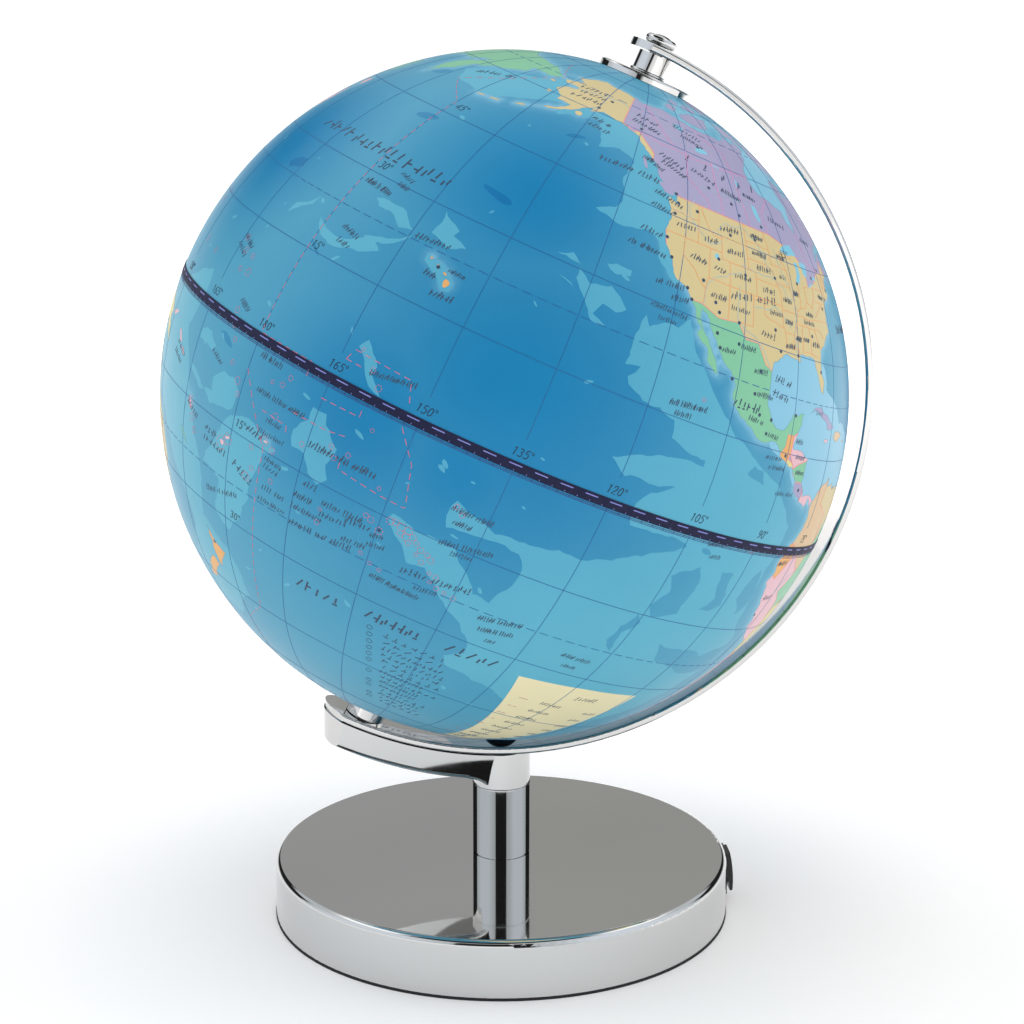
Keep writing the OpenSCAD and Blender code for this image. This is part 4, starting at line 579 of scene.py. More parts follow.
def inside(ring, lon, lat):
    """Which of the points lie inside a closed outline, whatever turn its longitudes are written in."""
    ring = np.array(ring)
    found = np.zeros(len(lon), bool)
    low, high = ring.min(0), ring.max(0)
    for turn in (-360, 0, 360):
        x = lon + turn
        near = np.nonzero((x > low[0]) & (x < high[0]) & (lat > low[1]) & (lat < high[1]))[0]
        px, py = x[near], lat[near]
        odd = np.zeros(len(near), bool)
        for (x1, y1), (x2, y2) in zip(ring, np.roll(ring, -1, axis=0)):
            if y1 != y2:
                odd ^= ((y1 > py) != (y2 > py)) & (px < (x2 - x1) * (py - y1) / (y2 - y1) + x1)
        found[near] |= odd
    return found


# ---- the map's regions in the order in which they are painted --------------------------------

rng = random.Random(SEED)
sea_regions = [(RISE, ring_of(s, RISE_STEP, RISE_ROUGH, rng)) for s in RISES]
sea_regions += [(SEA, ring_of(s, RISE_STEP, RISE_ROUGH, rng)) for s in TROUGHS]
sea_regions += [(TROUGH, ring_of(s, RISE_STEP, RISE_ROUGH, rng)) for s in DEEPS]
for _ in range(SEAMOUNTS):
    place = (rng.uniform(120, 280), math.degrees(math.asin(rng.uniform(-0.85, 0.85))))
    size = rng.uniform(0.35, 1.0)
    shape = (*place, size, size * rng.uniform(0.25, 0.5), rng.uniform(-60, 60))
    sea_regions.append((RISE, ring_of(shape, RISE_STEP, RISE_ROUGH, rng)))
MAINLANDS = ((LAVENDER, NORTH_AMERICA), (GREEN, SOUTH_AMERICA), (TAN, AFRICA), (LEMON, EURASIA),
             (YELLOW, AUSTRALIA), (ICE, ANTARCTICA), (ICE, GREENLAND))
lands = [(tint, ring_of(s, COAST_STEP, COAST_ROUGH, rng)) for tint, s in MAINLANDS]
mainland_count = len(lands)
lands += [(tint, ring_of(s, COAST_STEP, COAST_ROUGH, rng)) for tint, s in ISLANDS]
countries = [(tint, ring_of(s, 2.0, 0.0, rng)) for tint, s in COUNTRIES]
lakes = [ring_of(s, COAST_STEP, COAST_ROUGH, rng) for s in LAKES]
panel = ring_of(PANEL, 2.0, 0.0, rng)
sea_regions += [(SHALLOW, ring_of(s, RISE_STEP, RISE_ROUGH, rng)) for s in SHALLOWS]
WATER_CODE, PANEL_CODE, LAKE_CODE = 0, 90, 91


def regions_at(lon, lat):
    """The colour (red, green, blue, share of water) and the region code of each point."""
    tint = np.tile(np.array([*SEA, 1.0]), (len(lon), 1))
    code = np.full(len(lon), WATER_CODE)
    for colour, ring in sea_regions:
        tint[inside(ring, lon, lat)] = [*colour, 0.4 if colour in (RISE, SHALLOW) else 1.0]
    land = np.zeros(len(lon), bool)
    for k, (colour, ring) in enumerate(lands):
        here = inside(ring, lon, lat)
        tint[here] = [*colour, 0.0]
        code[here] = 1
        if k < mainland_count:
            land |= here
    for k, (colour, ring) in enumerate(countries):
        here = land & inside(ring, lon, lat)
        tint[here] = [*colour, 0.0]
        code[here] = 2 + k
    for ring in lakes:
        here = (code > 0) & inside(ring, lon, lat)
        tint[here] = [*LAKE, 0.0]
        code[here] = LAKE_CODE
    here = inside(panel, lon, lat)
    tint[here] = [*CREAM, 0.0]
    code[here] = PANEL_CODE
    return tint, code


shore = directions([p for _, ring in lands for p in ring if p[1] > -89])
shore_tree = KDTree(len(shore))
for k, p in enumerate(shore):
    shore_tree.insert(p, k)
shore_tree.balance()

# ---- meshes ------------------------------------------------------------------------------------


def add_piece(name, verts, faces, material, body, smooth=True):
    """A new mesh object in the row frame that rides on a CAD body."""
    mesh = bpy.data.meshes.new(name)
    mesh.from_pydata([tuple(v) for v in verts], [], faces)
    mesh.materials.append(material)
    if smooth:
        mesh.shade_smooth()
    piece = bpy.data.objects.new(name, mesh)
    scene.collection.objects.link(piece)
    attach(piece, body)
    return piece


def chart(lonlat, side):
    """Flat chart of one half of the ball, the pole in the middle and the equator at radius 1."""
    lonlat = np.asarray(lonlat, float).reshape(-1, 2)
    reach = (90 - side * lonlat[:, 1]) / 90
    turn = np.radians(lonlat[:, 0])
    return np.stack([reach * np.cos(turn), reach * np.sin(turn)], axis=1)


def row_points(step, first, last):
    """Points in rows of latitude, evenly spread, as (longitude, distance from the pole)."""
    found = []
    rows = round((last - first) / step)
    for k in range(1, rows):
        polar = first + (last - first) * k / rows
        count = max(12, round(360 * math.sin(math.radians(polar)) / step))
        found += [((j + (k % 2) / 2) * 360 / count, polar) for j in range(count)]
    return found


def triangles(points, edges, side):
    """Triangles over one half: (longitude, latitude) of each vertex, its chart reach, and the faces."""
    verts, _, faces, *_ = delaunay_2d_cdt([Vector(p) for p in points], edges, [], 0, 1e-7, False)
    flat = np.array(verts)
    reach = np.hypot(flat[:, 0], flat[:, 1])
    hole = (90 - POLE_LAT) / 90
    reach[np.abs(reach - 1) < 1e-5] = 1
    rim = np.abs(reach - hole) < 1e-5
    lonlat = np.stack([np.degrees(np.arctan2(flat[:, 1], flat[:, 0])), side * (90 - 90 * reach)], axis=1)
    faces = [f for f in faces if not (rim[f[0]] and rim[f[1]] and rim[f[2]])]
    return lonlat, reach, rim, faces


def half_skin(name, side, material):
    """One half of the ball as a closed shell: the printed outside, the white inside, and its two rims."""
    equator = [(k * 360 / EQUATOR_POINTS, 0.0) for k in range(EQUATOR_POINTS)]
    pole = [(k * 360 / POLE_POINTS, side * POLE_LAT) for k in range(POLE_POINTS)]
    points, edges = list(equator) + list(pole), []
    for ring in [r for _, r in sea_regions + lands + countries] + lakes + [panel]:
        for a, b in zip(ring, ring[1:] + ring[:1]):
            if min(side * a[1], side * b[1]) >= 0 < max(side * a[1], side * b[1]) < POLE_LAT:
                edges.append((len(points), len(points) + 1))
                points += [a, b]
    hole = 90 - POLE_LAT
    points += [(lon, side * (90 - polar)) for lon, polar in row_points(ROW_STEP, hole, 90)]
    outer, reach, rim, faces = triangles(chart(points, side), edges, side)
    edge_lons = sorted(outer[reach == 1, 0])
    inner_points = [(lon, 0.0) for lon in edge_lons] + list(pole)
    inner_points += [(lon, side * (90 - polar)) for lon, polar in row_points(INNER_STEP, hole, 86)]
    inner, in_reach, in_rim, in_faces = triangles(chart(inner_points, side), [], side)
    start = len(outer)
    units = np.vstack([directions(outer), directions(inner)])
    radii = np.r_[np.full(start, BALL_R), np.full(len(inner), BALL_R - BALL_WALL)]
    corners = np.array([f if side > 0 else f[::-1] for f in faces])
    in_corners = np.array([f[::-1] if side > 0 else f for f in in_faces]) + start
    closing = []
    for out_set, in_set, turn in ((reach == 1, in_reach == 1, side), (rim, in_rim, -side)):
        a = sorted(np.nonzero(out_set)[0], key=lambda k: outer[k, 0])
        b = sorted(np.nonzero(in_set)[0], key=lambda k: inner[k, 0])
        for k in range(len(a)):
            n = (k + 1) % len(a)
            quad = (a[k], b[k] + start, b[n] + start, a[n])
            closing.append(quad if turn > 0 else quad[::-1])
    everything = corners.tolist() + in_corners.tolist() + [tuple(map(int, q)) for q in closing]
    piece = add_piece(name, placed(units, radii), everything, material, "globe")
    mesh = piece.data
    mid = units[corners].mean(axis=1)
    mid /= np.linalg.norm(mid, axis=1)[:, None]
    lon, lat = np.degrees(np.arctan2(mid[:, 1], mid[:, 0])), np.degrees(np.arcsin(mid[:, 2]))
    tint, code = regions_at(lon, lat)
    paint = np.tile(np.array([0.85, 0.85, 0.82, 0.0]), (len(mesh.loops), 1))
    paint[:3 * len(corners)] = np.repeat(tint, 3, axis=0)
    attribute = mesh.attributes.new("map_tint", "FLOAT_COLOR", "CORNER")
    attribute.data.foreach_set("color", paint.ravel())
    near = np.ones(len(units))
    for k in range(start):
        near[k] = min(1.0, math.degrees(shore_tree.find(units[k])[2]) / SHORE_REACH)
    mesh.attributes.new("shore", "FLOAT", "POINT").data.foreach_set("value", near)
    # darkening of open water: sea depth, and painted shade round the middle of the ball as seen
    depth_and_shade = np.zeros(len(units))
    for basin_lon, basin_lat, basin_reach in BASINS_AND_SHADE_SPOTS:
        apart = np.degrees(np.arccos(np.clip(units @ directions([(basin_lon, basin_lat)])[0], -1, 1)))
        depth_and_shade = np.maximum(depth_and_shade, np.exp(-0.5 * (apart / basin_reach) ** 2))
    mesh.attributes.new("depth_and_shade", "FLOAT", "POINT").data.foreach_set("value", depth_and_shade)
    spin = units @ GLOBE_AXES.T
    spin[start:] *= -1
    mesh.normals_split_custom_set_from_vertices([tuple(n) for n in spin])
    return piece, outer, corners, code


def chains(pairs):
    """Joins single edges into the longest paths; returns lists of vertex numbers."""
    links = {}
    for a, b in pairs:
        links.setdefault(a, []).append(b)
        links.setdefault(b, []).append(a)
    paths = []
    ends = [v for v in links if len(links[v]) != 2]
    for begin in ends + list(links):
        while links[begin]:
            path = [begin]
            while links[path[-1]]:
                after = links[path[-1]].pop()
                links[after].remove(path[-1])
                path.append(after)
                if len(links[after]) != 1:
                    break
            paths.append(path)
    return paths


class Ink:
    """Thin raised ribbons of one ink, gathered into one mesh."""

    def __init__(self, foot=INK_FOOT, top=INK_TOP):
        self.verts, self.faces, self.count = [], [], 0
        self.foot, self.top = foot, top

    def stroke(self, units, width, closed=False):
        """A closed ribbon along unit vectors of the map's axes."""
        units = np.asarray(units, float)
        units = units / np.linalg.norm(units, axis=1)[:, None]
        if closed:
            along = np.roll(units, -1, axis=0) - np.roll(units, 1, axis=0)
        else:
            along = np.gradient(units, axis=0)
        side = np.cross(units, along)
        side *= (width / 2) / np.maximum(np.linalg.norm(side, axis=1), 1e-9)[:, None]
        low, high = units * self.foot, units * self.top
        rows = np.stack([low - side, low + side, high + side, high - side], axis=1)
        n, base = len(units), self.count
        for k in range(n if closed else n - 1):
            a, b = base + 4 * k, base + 4 * ((k + 1) % n)
            self.faces += [(a + j, a + (j + 1) % 4, b + (j + 1) % 4, b + j) for j in range(4)]
        if not closed:
            last = base + 4 * (n - 1)
            self.faces += [(base + 3, base + 2, base + 1, base), (last, last + 1, last + 2, last + 3)]
        self.verts.append(rows.reshape(-1, 3))
        self.count += 4 * n

    def piece(self, name, material, slot="map_print"):
        """Turns all strokes so far into one mesh that rides on the globe."""
        add_piece(name, placed(np.vstack(self.verts), 1.0), self.faces, material, "globe", smooth=False)


def dense(points, step=1.5):
    """Straight legs in longitude and latitude, with points at most a step apart."""
    found = []
    for a, b in zip(points, points[1:]):
        count = max(1, math.ceil(math.dist(a, b) / step))
        found += [(a[0] + (b[0] - a[0]) * k / count, a[1] + (b[1] - a[1]) * k / count) for k in range(count)]
    return found + [points[-1]]


def dashes(points, on, off):
    """The same legs as short strokes; lengths in degrees."""
    fine = dense(points, 0.25)
    units = directions(fine)
    run = np.r_[0, np.cumsum(np.degrees(np.linalg.norm(np.diff(units, axis=0), axis=1)))]
    pieces = []
    for start in np.arange(0, run[-1] - on, on + off):
        ends = [np.interp((start, start + on / 2, start + on), run, units[:, k]) for k in range(3)]
        pieces.append(np.array(ends).T)
    return pieces


def parallel(lat):
    """Unit vectors all the way round at one latitude."""
    return directions([(k * 360 / EQUATOR_POINTS, lat) for k in range(EQUATOR_POINTS)])


def writing_axes(start, end):
    """Middle, reading direction and upward direction of a line of marks, and its length."""
    a, b = directions([start])[0], directions([end])[0]
    middle = (a + b) / np.linalg.norm(a + b)
    ahead = b - a
    length = np.linalg.norm(ahead)
    ahead /= length
    up = np.cross(middle, ahead)
    return middle, ahead, up, length


SLANT = 0.18                        # lean of numbers and marks
WORD_GAP = 0.9                      # in cells
# strokes of one greeked mark, in a cell of width and height 1: from x, y to x, y
MARKS = (((0.5, 0, 0.5, 1),), ((0.2, 0, 0.2, 1), (0.2, 0.55, 0.85, 0.55)),
         ((0.8, 0, 0.8, 1), (0.15, 0.4, 0.8, 0.4)), ((0.25, 0, 0.25, 0.62), (0.75, 0.3, 0.75, 1)),
         ((0.2, 0.1, 0.8, 0.9),), ((0.15, 0.05, 0.85, 0.05), (0.5, 0.3, 0.5, 1)))


def place_marks(ink, start, end, height, words, rng):
    """Greeked words: rows of plain strokes that read as print from afar and say nothing."""
    middle, ahead, up, length = writing_axes(start, end)
    counts = [int(w) for w in words.split()]
    cells = sum(counts) + WORD_GAP * (len(counts) - 1)
    cell = length / cells
    tall = math.radians(height) * 0.95
    stroke = max(0.13 * MM, tall * BALL_R * 0.15)
    place = -length / 2
    for count in counts:
        for _ in range(count):
            size = tall * rng.choice((0.74, 0.78, 1.0, 1.0))
            for x0, y0, x1, y1 in rng.choice(MARKS):
                ends = []
                for x, y in ((x0, y0), (x1, y1)):
                    out = place + cell * (0.12 + 0.76 * x) + SLANT * y * size
                    ends.append(middle + ahead * out + up * (y * size - tall / 2))
                ink.stroke(ends, stroke)
            place += cell
        place += WORD_GAP * cell


# points of each digit, 6 units high and 4.4 apart
DIGITS = {
    "0": ((1.8, 6), (0.6, 5), (0.2, 3), (0.5, 1), (1.7, 0), (2.9, 1), (3.2, 3), (2.9, 5), (1.8, 6)),
    "1": ((0.9, 5), (2, 6), (2, 0)),
    "2": ((0.3, 4.6), (0.9, 5.8), (2.2, 6), (3.1, 5), (2.7, 3.4), (0.1, 0), (3.3, 0)),
    "3": ((0.4, 5.4), (1.5, 6), (2.8, 5.4), (2.6, 3.9), (1.4, 3.3), (2.9, 2.6), (3, 1), (1.7, 0), (0.2, 0.6)),
    "4": ((2.5, 0), (2.5, 6), (0.1, 2), (3.4, 2)),
    "5": ((3.1, 6), (0.9, 6), (0.6, 3.5), (2, 3.8), (3.1, 2.7), (2.8, 0.7), (1.4, 0), (0.1, 0.6)),
    "6": ((2.9, 5.9), (1.2, 4.7), (0.3, 2.4), (0.8, 0.4), (2, 0), (3.1, 1.2), (2.6, 3), (0.9, 3)),
    "7": ((0.4, 6), (3.4, 6), (1.2, 0)),
    "8": ((1.7, 3.2), (0.6, 4.6), (1.7, 6), (2.8, 4.6), (1.7, 3.2), (0.3, 1.5), (1.7, 0), (3.1, 1.5),
          (1.7, 3.2)),
    "9": ((0.5, 0.1), (2.2, 1.3), (3.1, 3.6), (2.6, 5.6), (1.4, 6), (0.3, 4.8), (0.8, 3), (2.9, 3.2))}


def degree_number(ink, lon, lat, number, height=1.25):
    """A number of degrees with its ring, upright at a place of the map."""
    middle, ahead, up, _ = writing_axes((lon - 1, lat), (lon + 1, lat))
    unit = math.radians(height) / 6
    place = -unit * 4.4 * len(number) / 2
    for sign in number:
        rows = [middle + ahead * (place + unit * (x + SLANT * y)) + up * unit * (y - 3)
                for x, y in DIGITS[sign]]
        ink.stroke(rows, 0.24 * MM)
        place += unit * 4.4
    loop = [middle + ahead * (place + unit * (1.7 + 0.9 * math.cos(t)))
            + up * unit * (2.2 + 0.9 * math.sin(t)) for t in np.linspace(0, math.tau, 9)[:-1]]
    ink.stroke(loop, 0.14 * MM, closed=True)


def loop_around(lon, lat, half, count=14):
    """Unit vectors of a small ring on the ball."""
    middle, ahead, up, _ = writing_axes((lon - 1, lat), (lon + 1, lat))
    turns = np.linspace(0, math.tau, count + 1)[:-1]
    size = math.radians(half)
    return [middle + (ahead * math.cos(t) + up * math.sin(t)) * size for t in turns]


# ---- materials -----------------------------------------------------------------------------------


class Finish:
    """A node-based material with one Principled surface."""

    def __init__(self, name, **constants):
        self.material = bpy.data.materials.new(name)
        self.material.use_nodes = True
        self.tree = self.material.node_tree
        self.surface = self.tree.nodes["Principled BSDF"]
        for key, value in constants.items():
            self.surface.inputs[key.replace("_", " ")].default_value = value

    def node(self, kind, *links, **settings):
        """Adds a node; links go to its inputs in order, settings to its fields or named inputs."""
        made = self.tree.nodes.new(kind)
        for key, value in settings.items():
            if hasattr(made, key):
                setattr(made, key, value)
            else:
                made.inputs[key.replace("_", " ")].default_value = value
        for k, link in enumerate(links):
            if link is not None:
                self.tree.links.new(link, made.inputs[k])
        return made

    def noise(self, scale, detail=3.0, roughness=0.5):
        place = self.node("ShaderNodeTexCoord").outputs["Object"]
        made = self.node("ShaderNodeTexNoise", place, Scale=scale, Detail=detail, Roughness=roughness)
        return made.outputs["Fac"]

    def ramp(self, value, *stops):
        """Stops are (position, colour or grey)."""
        made = self.node("ShaderNodeValToRGB", value)
        band = made.color_ramp
        while len(band.elements) < len(stops):
            band.elements.new(0.5)
        for element, (position, colour) in zip(band.elements, stops):
            element.position = position
            grey = (colour,) * 3 if isinstance(colour, (int, float)) else colour
            element.color = (*grey, 1)
        return made.outputs["Color"]

    def spread(self, value, low, high, start=0.3, stop=0.7):
        made = self.node("ShaderNodeMapRange", value)
        for k, number in enumerate((start, stop, low, high), 1):
            made.inputs[k].default_value = number
        return made.outputs["Result"]

    def mix(self, factor, a, b, blend="MIX"):
        made = self.node("ShaderNodeMix", data_type="RGBA", blend_type=blend)
        for socket, value in ((made.inputs[0], factor), (made.inputs[6], a), (made.inputs[7], b)):
            if isinstance(value, (int, float)):
                socket.default_value = value
            elif isinstance(value, tuple):
                socket.default_value = (*value, 1)
            else:
                self.tree.links.new(value, socket)
        return made.outputs[2]

    def set(self, key, link):
        self.tree.links.new(link, self.surface.inputs[key])

    def bump(self, value, strength, distance):
        made = self.node("ShaderNodeBump", Strength=strength, Distance=distance)
        self.tree.links.new(value, made.inputs["Height"])
        self.set("Normal", made.outputs["Normal"])


def chrome():
    f = Finish("chrome", Metallic=1.0)
    f.set("Base Color", f.ramp(f.noise(9, 2), (0.3, rgb("CECECD")), (0.7, rgb("D6D6D5"))))
    f.set("Roughness", f.spread(f.noise(60, 4), 0.025, 0.06))
    f.bump(f.noise(35, 2), 0.02, 0.0004)
    return f.material


def map_print():
    f = Finish("map_print", Coat_Weight=0.05, Coat_Roughness=0.2, Specular_IOR_Level=0.1)
    tint = f.node("ShaderNodeAttribute", attribute_name="map_tint")
    near = f.node("ShaderNodeAttribute", attribute_name="shore").outputs["Fac"]
    depth_and_shade = f.node("ShaderNodeAttribute", attribute_name="depth_and_shade").outputs["Fac"]
    water = tint.outputs["Alpha"]
    # open water darkens over the basins: printed sea depth, and painted shade at the ball's middle
    sunk_and_shaded = f.node("ShaderNodeMath", depth_and_shade, water, operation="MULTIPLY").outputs[0]
    colour = f.mix(sunk_and_shaded, tint.outputs["Color"], DEPTH_AND_SHADE_KEEP, "MULTIPLY")
    halo = f.ramp(near, (0.0, 0.62), (0.04, 0.34), (0.1, 0.1), (0.2, 0.0))
    open_water = f.node("ShaderNodeMath", water, operation="GREATER_THAN").outputs[0]
    halo = f.node("ShaderNodeMath", halo, open_water, operation="MULTIPLY").outputs[0]
    colour = f.mix(halo, colour, SHOAL)
    soft = f.ramp(f.noise(26, 4, 0.6), (0.3, 0.44), (0.7, 0.56))
    colour = f.mix(0.35, colour, soft, "SOFT_LIGHT")
    grain = f.ramp(f.noise(2600, 2), (0.3, 0.47), (0.7, 0.53))
    f.set("Base Color", f.mix(0.5, colour, grain, "SOFT_LIGHT"))
    f.set("Roughness", f.spread(f.noise(40, 3), 0.3, 0.38))
    f.bump(f.noise(700, 2), 0.02, 0.00005)
    return f.material


def ink(name, code, rough=0.45):
    f = Finish(name, Specular_IOR_Level=0.3)
    colour = rgb(code)
    light = tuple(c * 1.12 + 0.004 for c in colour)
    f.set("Base Color", f.ramp(f.noise(900, 2), (0.35, colour), (0.75, light)))
    f.set("Roughness", f.spread(f.noise(300, 2), rough - 0.05, rough + 0.05))
    return f.material


def moulded(name, code, rough, grain, **constants):
    """Moulded plastic: fine grain, slow cloudiness."""
    f = Finish(name, **constants)
    colour = rgb(code)
    dark = tuple(c * 0.82 for c in colour)
    f.set("Base Color", f.ramp(f.noise(70, 3), (0.3, dark), (0.7, colour)))
    f.set("Roughness", f.spread(f.noise(220, 3), rough - 0.06, rough + 0.06))
    f.bump(f.noise(grain, 3), 0.25, 0.0001)
    return f.material


def metal(name, code, rough, stretch=1.0, bump=0.08):
    """Bare metal with fine drawn scratches."""
    f = Finish(name, Metallic=1.0)
    place = f.node("ShaderNodeTexCoord").outputs["Object"]
    mapped = f.node("ShaderNodeMapping", place)
    mapped.inputs["Scale"].default_value = (1, 1, stretch)
    drawn = f.node("ShaderNodeTexNoise", mapped.outputs[0], Scale=900, Detail=3).outputs["Fac"]
    colour = rgb(code)
    f.set("Base Color", f.ramp(drawn, (0.3, tuple(c * 0.8 for c in colour)), (0.7, colour)))
    f.set("Roughness", f.spread(drawn, rough - 0.07, rough + 0.09))
    f.bump(drawn, bump, 0.0001)
    return f.material


def foam():
    f = Finish("foam_pad")
    place = f.node("ShaderNodeTexCoord").outputs["Object"]
    cells = f.node("ShaderNodeTexVoronoi", place, Scale=2200).outputs["Distance"]
    f.set("Base Color", f.ramp(cells, (0.0, rgb("121315")), (0.6, rgb("26272A"))))
    f.set("Roughness", f.spread(cells, 0.8, 0.95, 0, 0.6))
    f.bump(cells, 0.5, 0.0002)
    return f.material


FINISHES = {
    "chrome": chrome(),
    "map_print": map_print(),
    "tape_print": ink("tape_print", "080D34", 0.6),
    "black_plastic": moulded("black_plastic", "1E1F21", 0.5, 1500),
    "switch_black": moulded("switch_black", "131314", 0.28, 600),
    "white_plastic": moulded("white_plastic", "EEEDE6", 0.42, 900),
    "opal_plastic": moulded("opal_plastic", "F4F2EA", 0.38, 500, Subsurface_Weight=0.3),
    "foam_pad": foam(),
    "steel": metal("steel", "B9BABB", 0.36),
    "dark_screw": metal("dark_screw", "3A3B3D", 0.4),
    "brass": metal("brass", "C9A24E", 0.3),
    "cell_wrap": moulded("cell_wrap", "3F8F5A", 0.3, 700),
    "board": moulded("board", "2F6B43", 0.45, 1200),
    "led": moulded("led", "E9D98A", 0.3, 900),
    "wire": moulded("wire", "B33A32", 0.45, 1100),
}
for row in frame["record"]["subparts"]:
    node = frame["nodes"][row["node"]]
    node.data.materials.clear()
    node.data.materials.append(FINISHES[row["material_slot"]])

# ---- the printed ball ----------------------------------------------------------------------------

COAST_LINE, BORDER_LINE, STATE_LINE, PROVINCE_LINE, RIVER_LINE = (
    w * MM for w in (0.13, 0.22, 0.16, 0.18, 0.15))
GRID_LINE, TROPIC_LINE, SYMBOL_LINE, RING_LINE, CITY_LINE = (w * MM for w in (0.17, 0.19, 0.16, 0.13, 0.28))
DASH_LINE, TICK_LINE, RULE_LINE, RULE_TICK = (w * MM for w in (0.28, 0.16, 0.13, 0.14))
GRID_STEP = 15                      # degrees
TROPIC, POLAR_CIRCLE = 23.4, 66.5
GRID_END = 85.5                     # meridians stop here
NUMBER_BAND = 4.0                   # meridians start here, above the equator's row of numbers
TAPE_EDGE = 0.85                    # degrees of latitude under the tape

skins = [half_skin("map_north", 1, FINISHES["map_print"]), half_skin("map_south", -1, FINISHES["map_print"])]
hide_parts("ball_north")
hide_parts("ball_south")

coast_ink, border_ink = Ink(), Ink()
for _, outer, corners, code in skins:
    seen = {}
    for face, (a, b, c) in enumerate(corners):
        for pair in ((a, b), (b, c), (c, a)):
            key = (min(pair), max(pair))
            seen.setdefault(key, []).append(code[face])
    coasts = [k for k, v in seen.items() if len(v) == 2 and v[0] != v[1] and min(v) == WATER_CODE
              and max(v) != PANEL_CODE]
    borders = [k for k, v in seen.items() if len(v) == 2 and v[0] != v[1] and min(v) > 0
               and max(v) < PANEL_CODE]
    for found, target, width in ((coasts, coast_ink, COAST_LINE), (borders, border_ink, BORDER_LINE)):
        for path in chains(found):
            target.stroke(directions(outer[path]), width)
coast_ink.piece("print_coastline", ink("coast_ink", "6E9FB5"))
border_ink.piece("print_borders", ink("border_ink", "E08A86"))

state_ink, province_ink, river_ink = Ink(), Ink(), Ink()
LINE_STEP, RIVER_ROUGH, LINE_ROUGH = 0.9, 0.14, 0.06
for target, group, width in ((state_ink, STATE_LINES, STATE_LINE),
                             (province_ink, PROVINCE_LINES, PROVINCE_LINE), (river_ink, RIVERS, RIVER_LINE)):
    for line in group:
        path = [tuple(map(float, line[0]))]
        for a, b in zip(line, line[1:]):
            straight = target is state_ink and (a[0] == b[0] or a[1] == b[1])
            rough = RIVER_ROUGH if target is river_ink else 0.0 if straight else LINE_ROUGH
            path += broken(a, b, LINE_STEP, rough, rng)[1:] + [tuple(map(float, b))]
        target.stroke(directions(path), width)
state_ink.piece("print_state_lines", ink("state_ink", "E39A62"))
province_ink.piece("print_province_lines", ink("province_ink", "D98BB4"))
river_ink.piece("print_rivers", ink("river_ink", "93B5BE"))

lines = Ink()
for lon in range(0, 360, GRID_STEP):
    for low, high in ((-GRID_END, -TAPE_EDGE), (NUMBER_BAND, GRID_END)):
        lines.stroke(directions(dense([(lon, low), (lon, high)])), GRID_LINE)
for lat in [k * GRID_STEP for k in range(-5, 6) if k]:
    lines.stroke(parallel(lat), GRID_LINE, closed=True)
for lat in (-POLAR_CIRCLE, -TROPIC, TROPIC, POLAR_CIRCLE):
    for part in dashes([(0, lat), (360, lat)], 1.5, 0.8):
        lines.stroke(part, TROPIC_LINE)
lines.piece("print_graticule", ink("graticule_ink", "1F5E92"))

red = Ink()
for route in (DATE_LINE, DATE_LINE_SOUTH, *ISLAND_BOXES):
    for part in dashes(route, 1.0, 0.7):
        red.stroke(part, GRID_LINE)
for lon, lat, half in ATOLLS:
    ring = loop_around(lon, lat, half)
    for k in range(0, len(ring), 2):
        red.stroke([ring[k], ring[(k + 1) % len(ring)]], GRID_LINE)
red.piece("print_date_line", ink("red_ink", "C9687A"))

marks = Ink()
for start, end, height, words in PLACE_MARKS:
    place_marks(marks, start, end, height, words, rng)
for lon, lat in CITIES:
    for half in (0.1, 0.22):
        marks.stroke(loop_around(lon, lat, half, 8), CITY_LINE, closed=True)
for k in range(14):                                    # the list beside the panel
    lat = -35.5 - 1.55 * k
    drift = 0.35 * k
    place_marks(marks, (-143.5 + drift, lat), (-131 + drift + rng.uniform(-3, 2), lat - 0.2), 1.0,
                str(rng.randint(6, 12)), rng)
    if k not in (6, 8, 11):
        marks.stroke(loop_around(-146 + drift, lat + 0.2, 0.45, 10), RING_LINE, closed=True)
PANEL_ROWS = [-38.5 - 2.9 * k for k in range(9)]       # latitudes
for k, lat in enumerate(PANEL_ROWS):                   # the panel's two columns
    spread_out = 1 + 0.03 * k
    left, right = -108 - 0.25 * k, -95.5 - 0.15 * k
    place_marks(marks, (left, lat), (left + 5.5 * spread_out, lat), 0.9, str(rng.randint(5, 8)), rng)
    place_marks(marks, (right, lat - 0.8), (right + 3.5, lat - 0.8), 0.8, "4", rng)
place_marks(marks, (-102.5, -35.2), (-97, -35), 1.1, "6", rng)
marks.piece("print_place_marks", ink("black_ink", "33465C"))

symbols = Ink()
for k, lat in enumerate(PANEL_ROWS):
    left = -113 - 0.25 * k
    for part in dashes([(left, lat), (left + 3.2, lat)], 0.6 if k % 2 else 1.6, 0.35):
        symbols.stroke(part, SYMBOL_LINE)
symbols.piece("print_panel_symbols", ink("symbol_ink", "B9657E"))

numbers = Ink()
for lon, lat, text in ((-177.4, 47.2, "45"), (-178.2, 31.6, "30"), (-178.8, 16, "15"), (-178.6, -13.4, "15"),
                       (-91, 46.3, "45"), (2.5, 46.3, "45"), (2.5, 31.3, "30"), (2.5, 16.3, "15"),
                       (2.5, -13.7, "15"), (2.5, -28.7, "30"), (2.5, -43.7, "45"), (-177.5, -28.6, "30")):
    degree_number(numbers, lon, lat, text)
for lon in range(0, 360, GRID_STEP):
    degree_number(numbers, lon, 2.1, str(min(lon, 360 - lon)))
numbers.piece("print_degree_numbers", ink("number_ink", "15263C"))

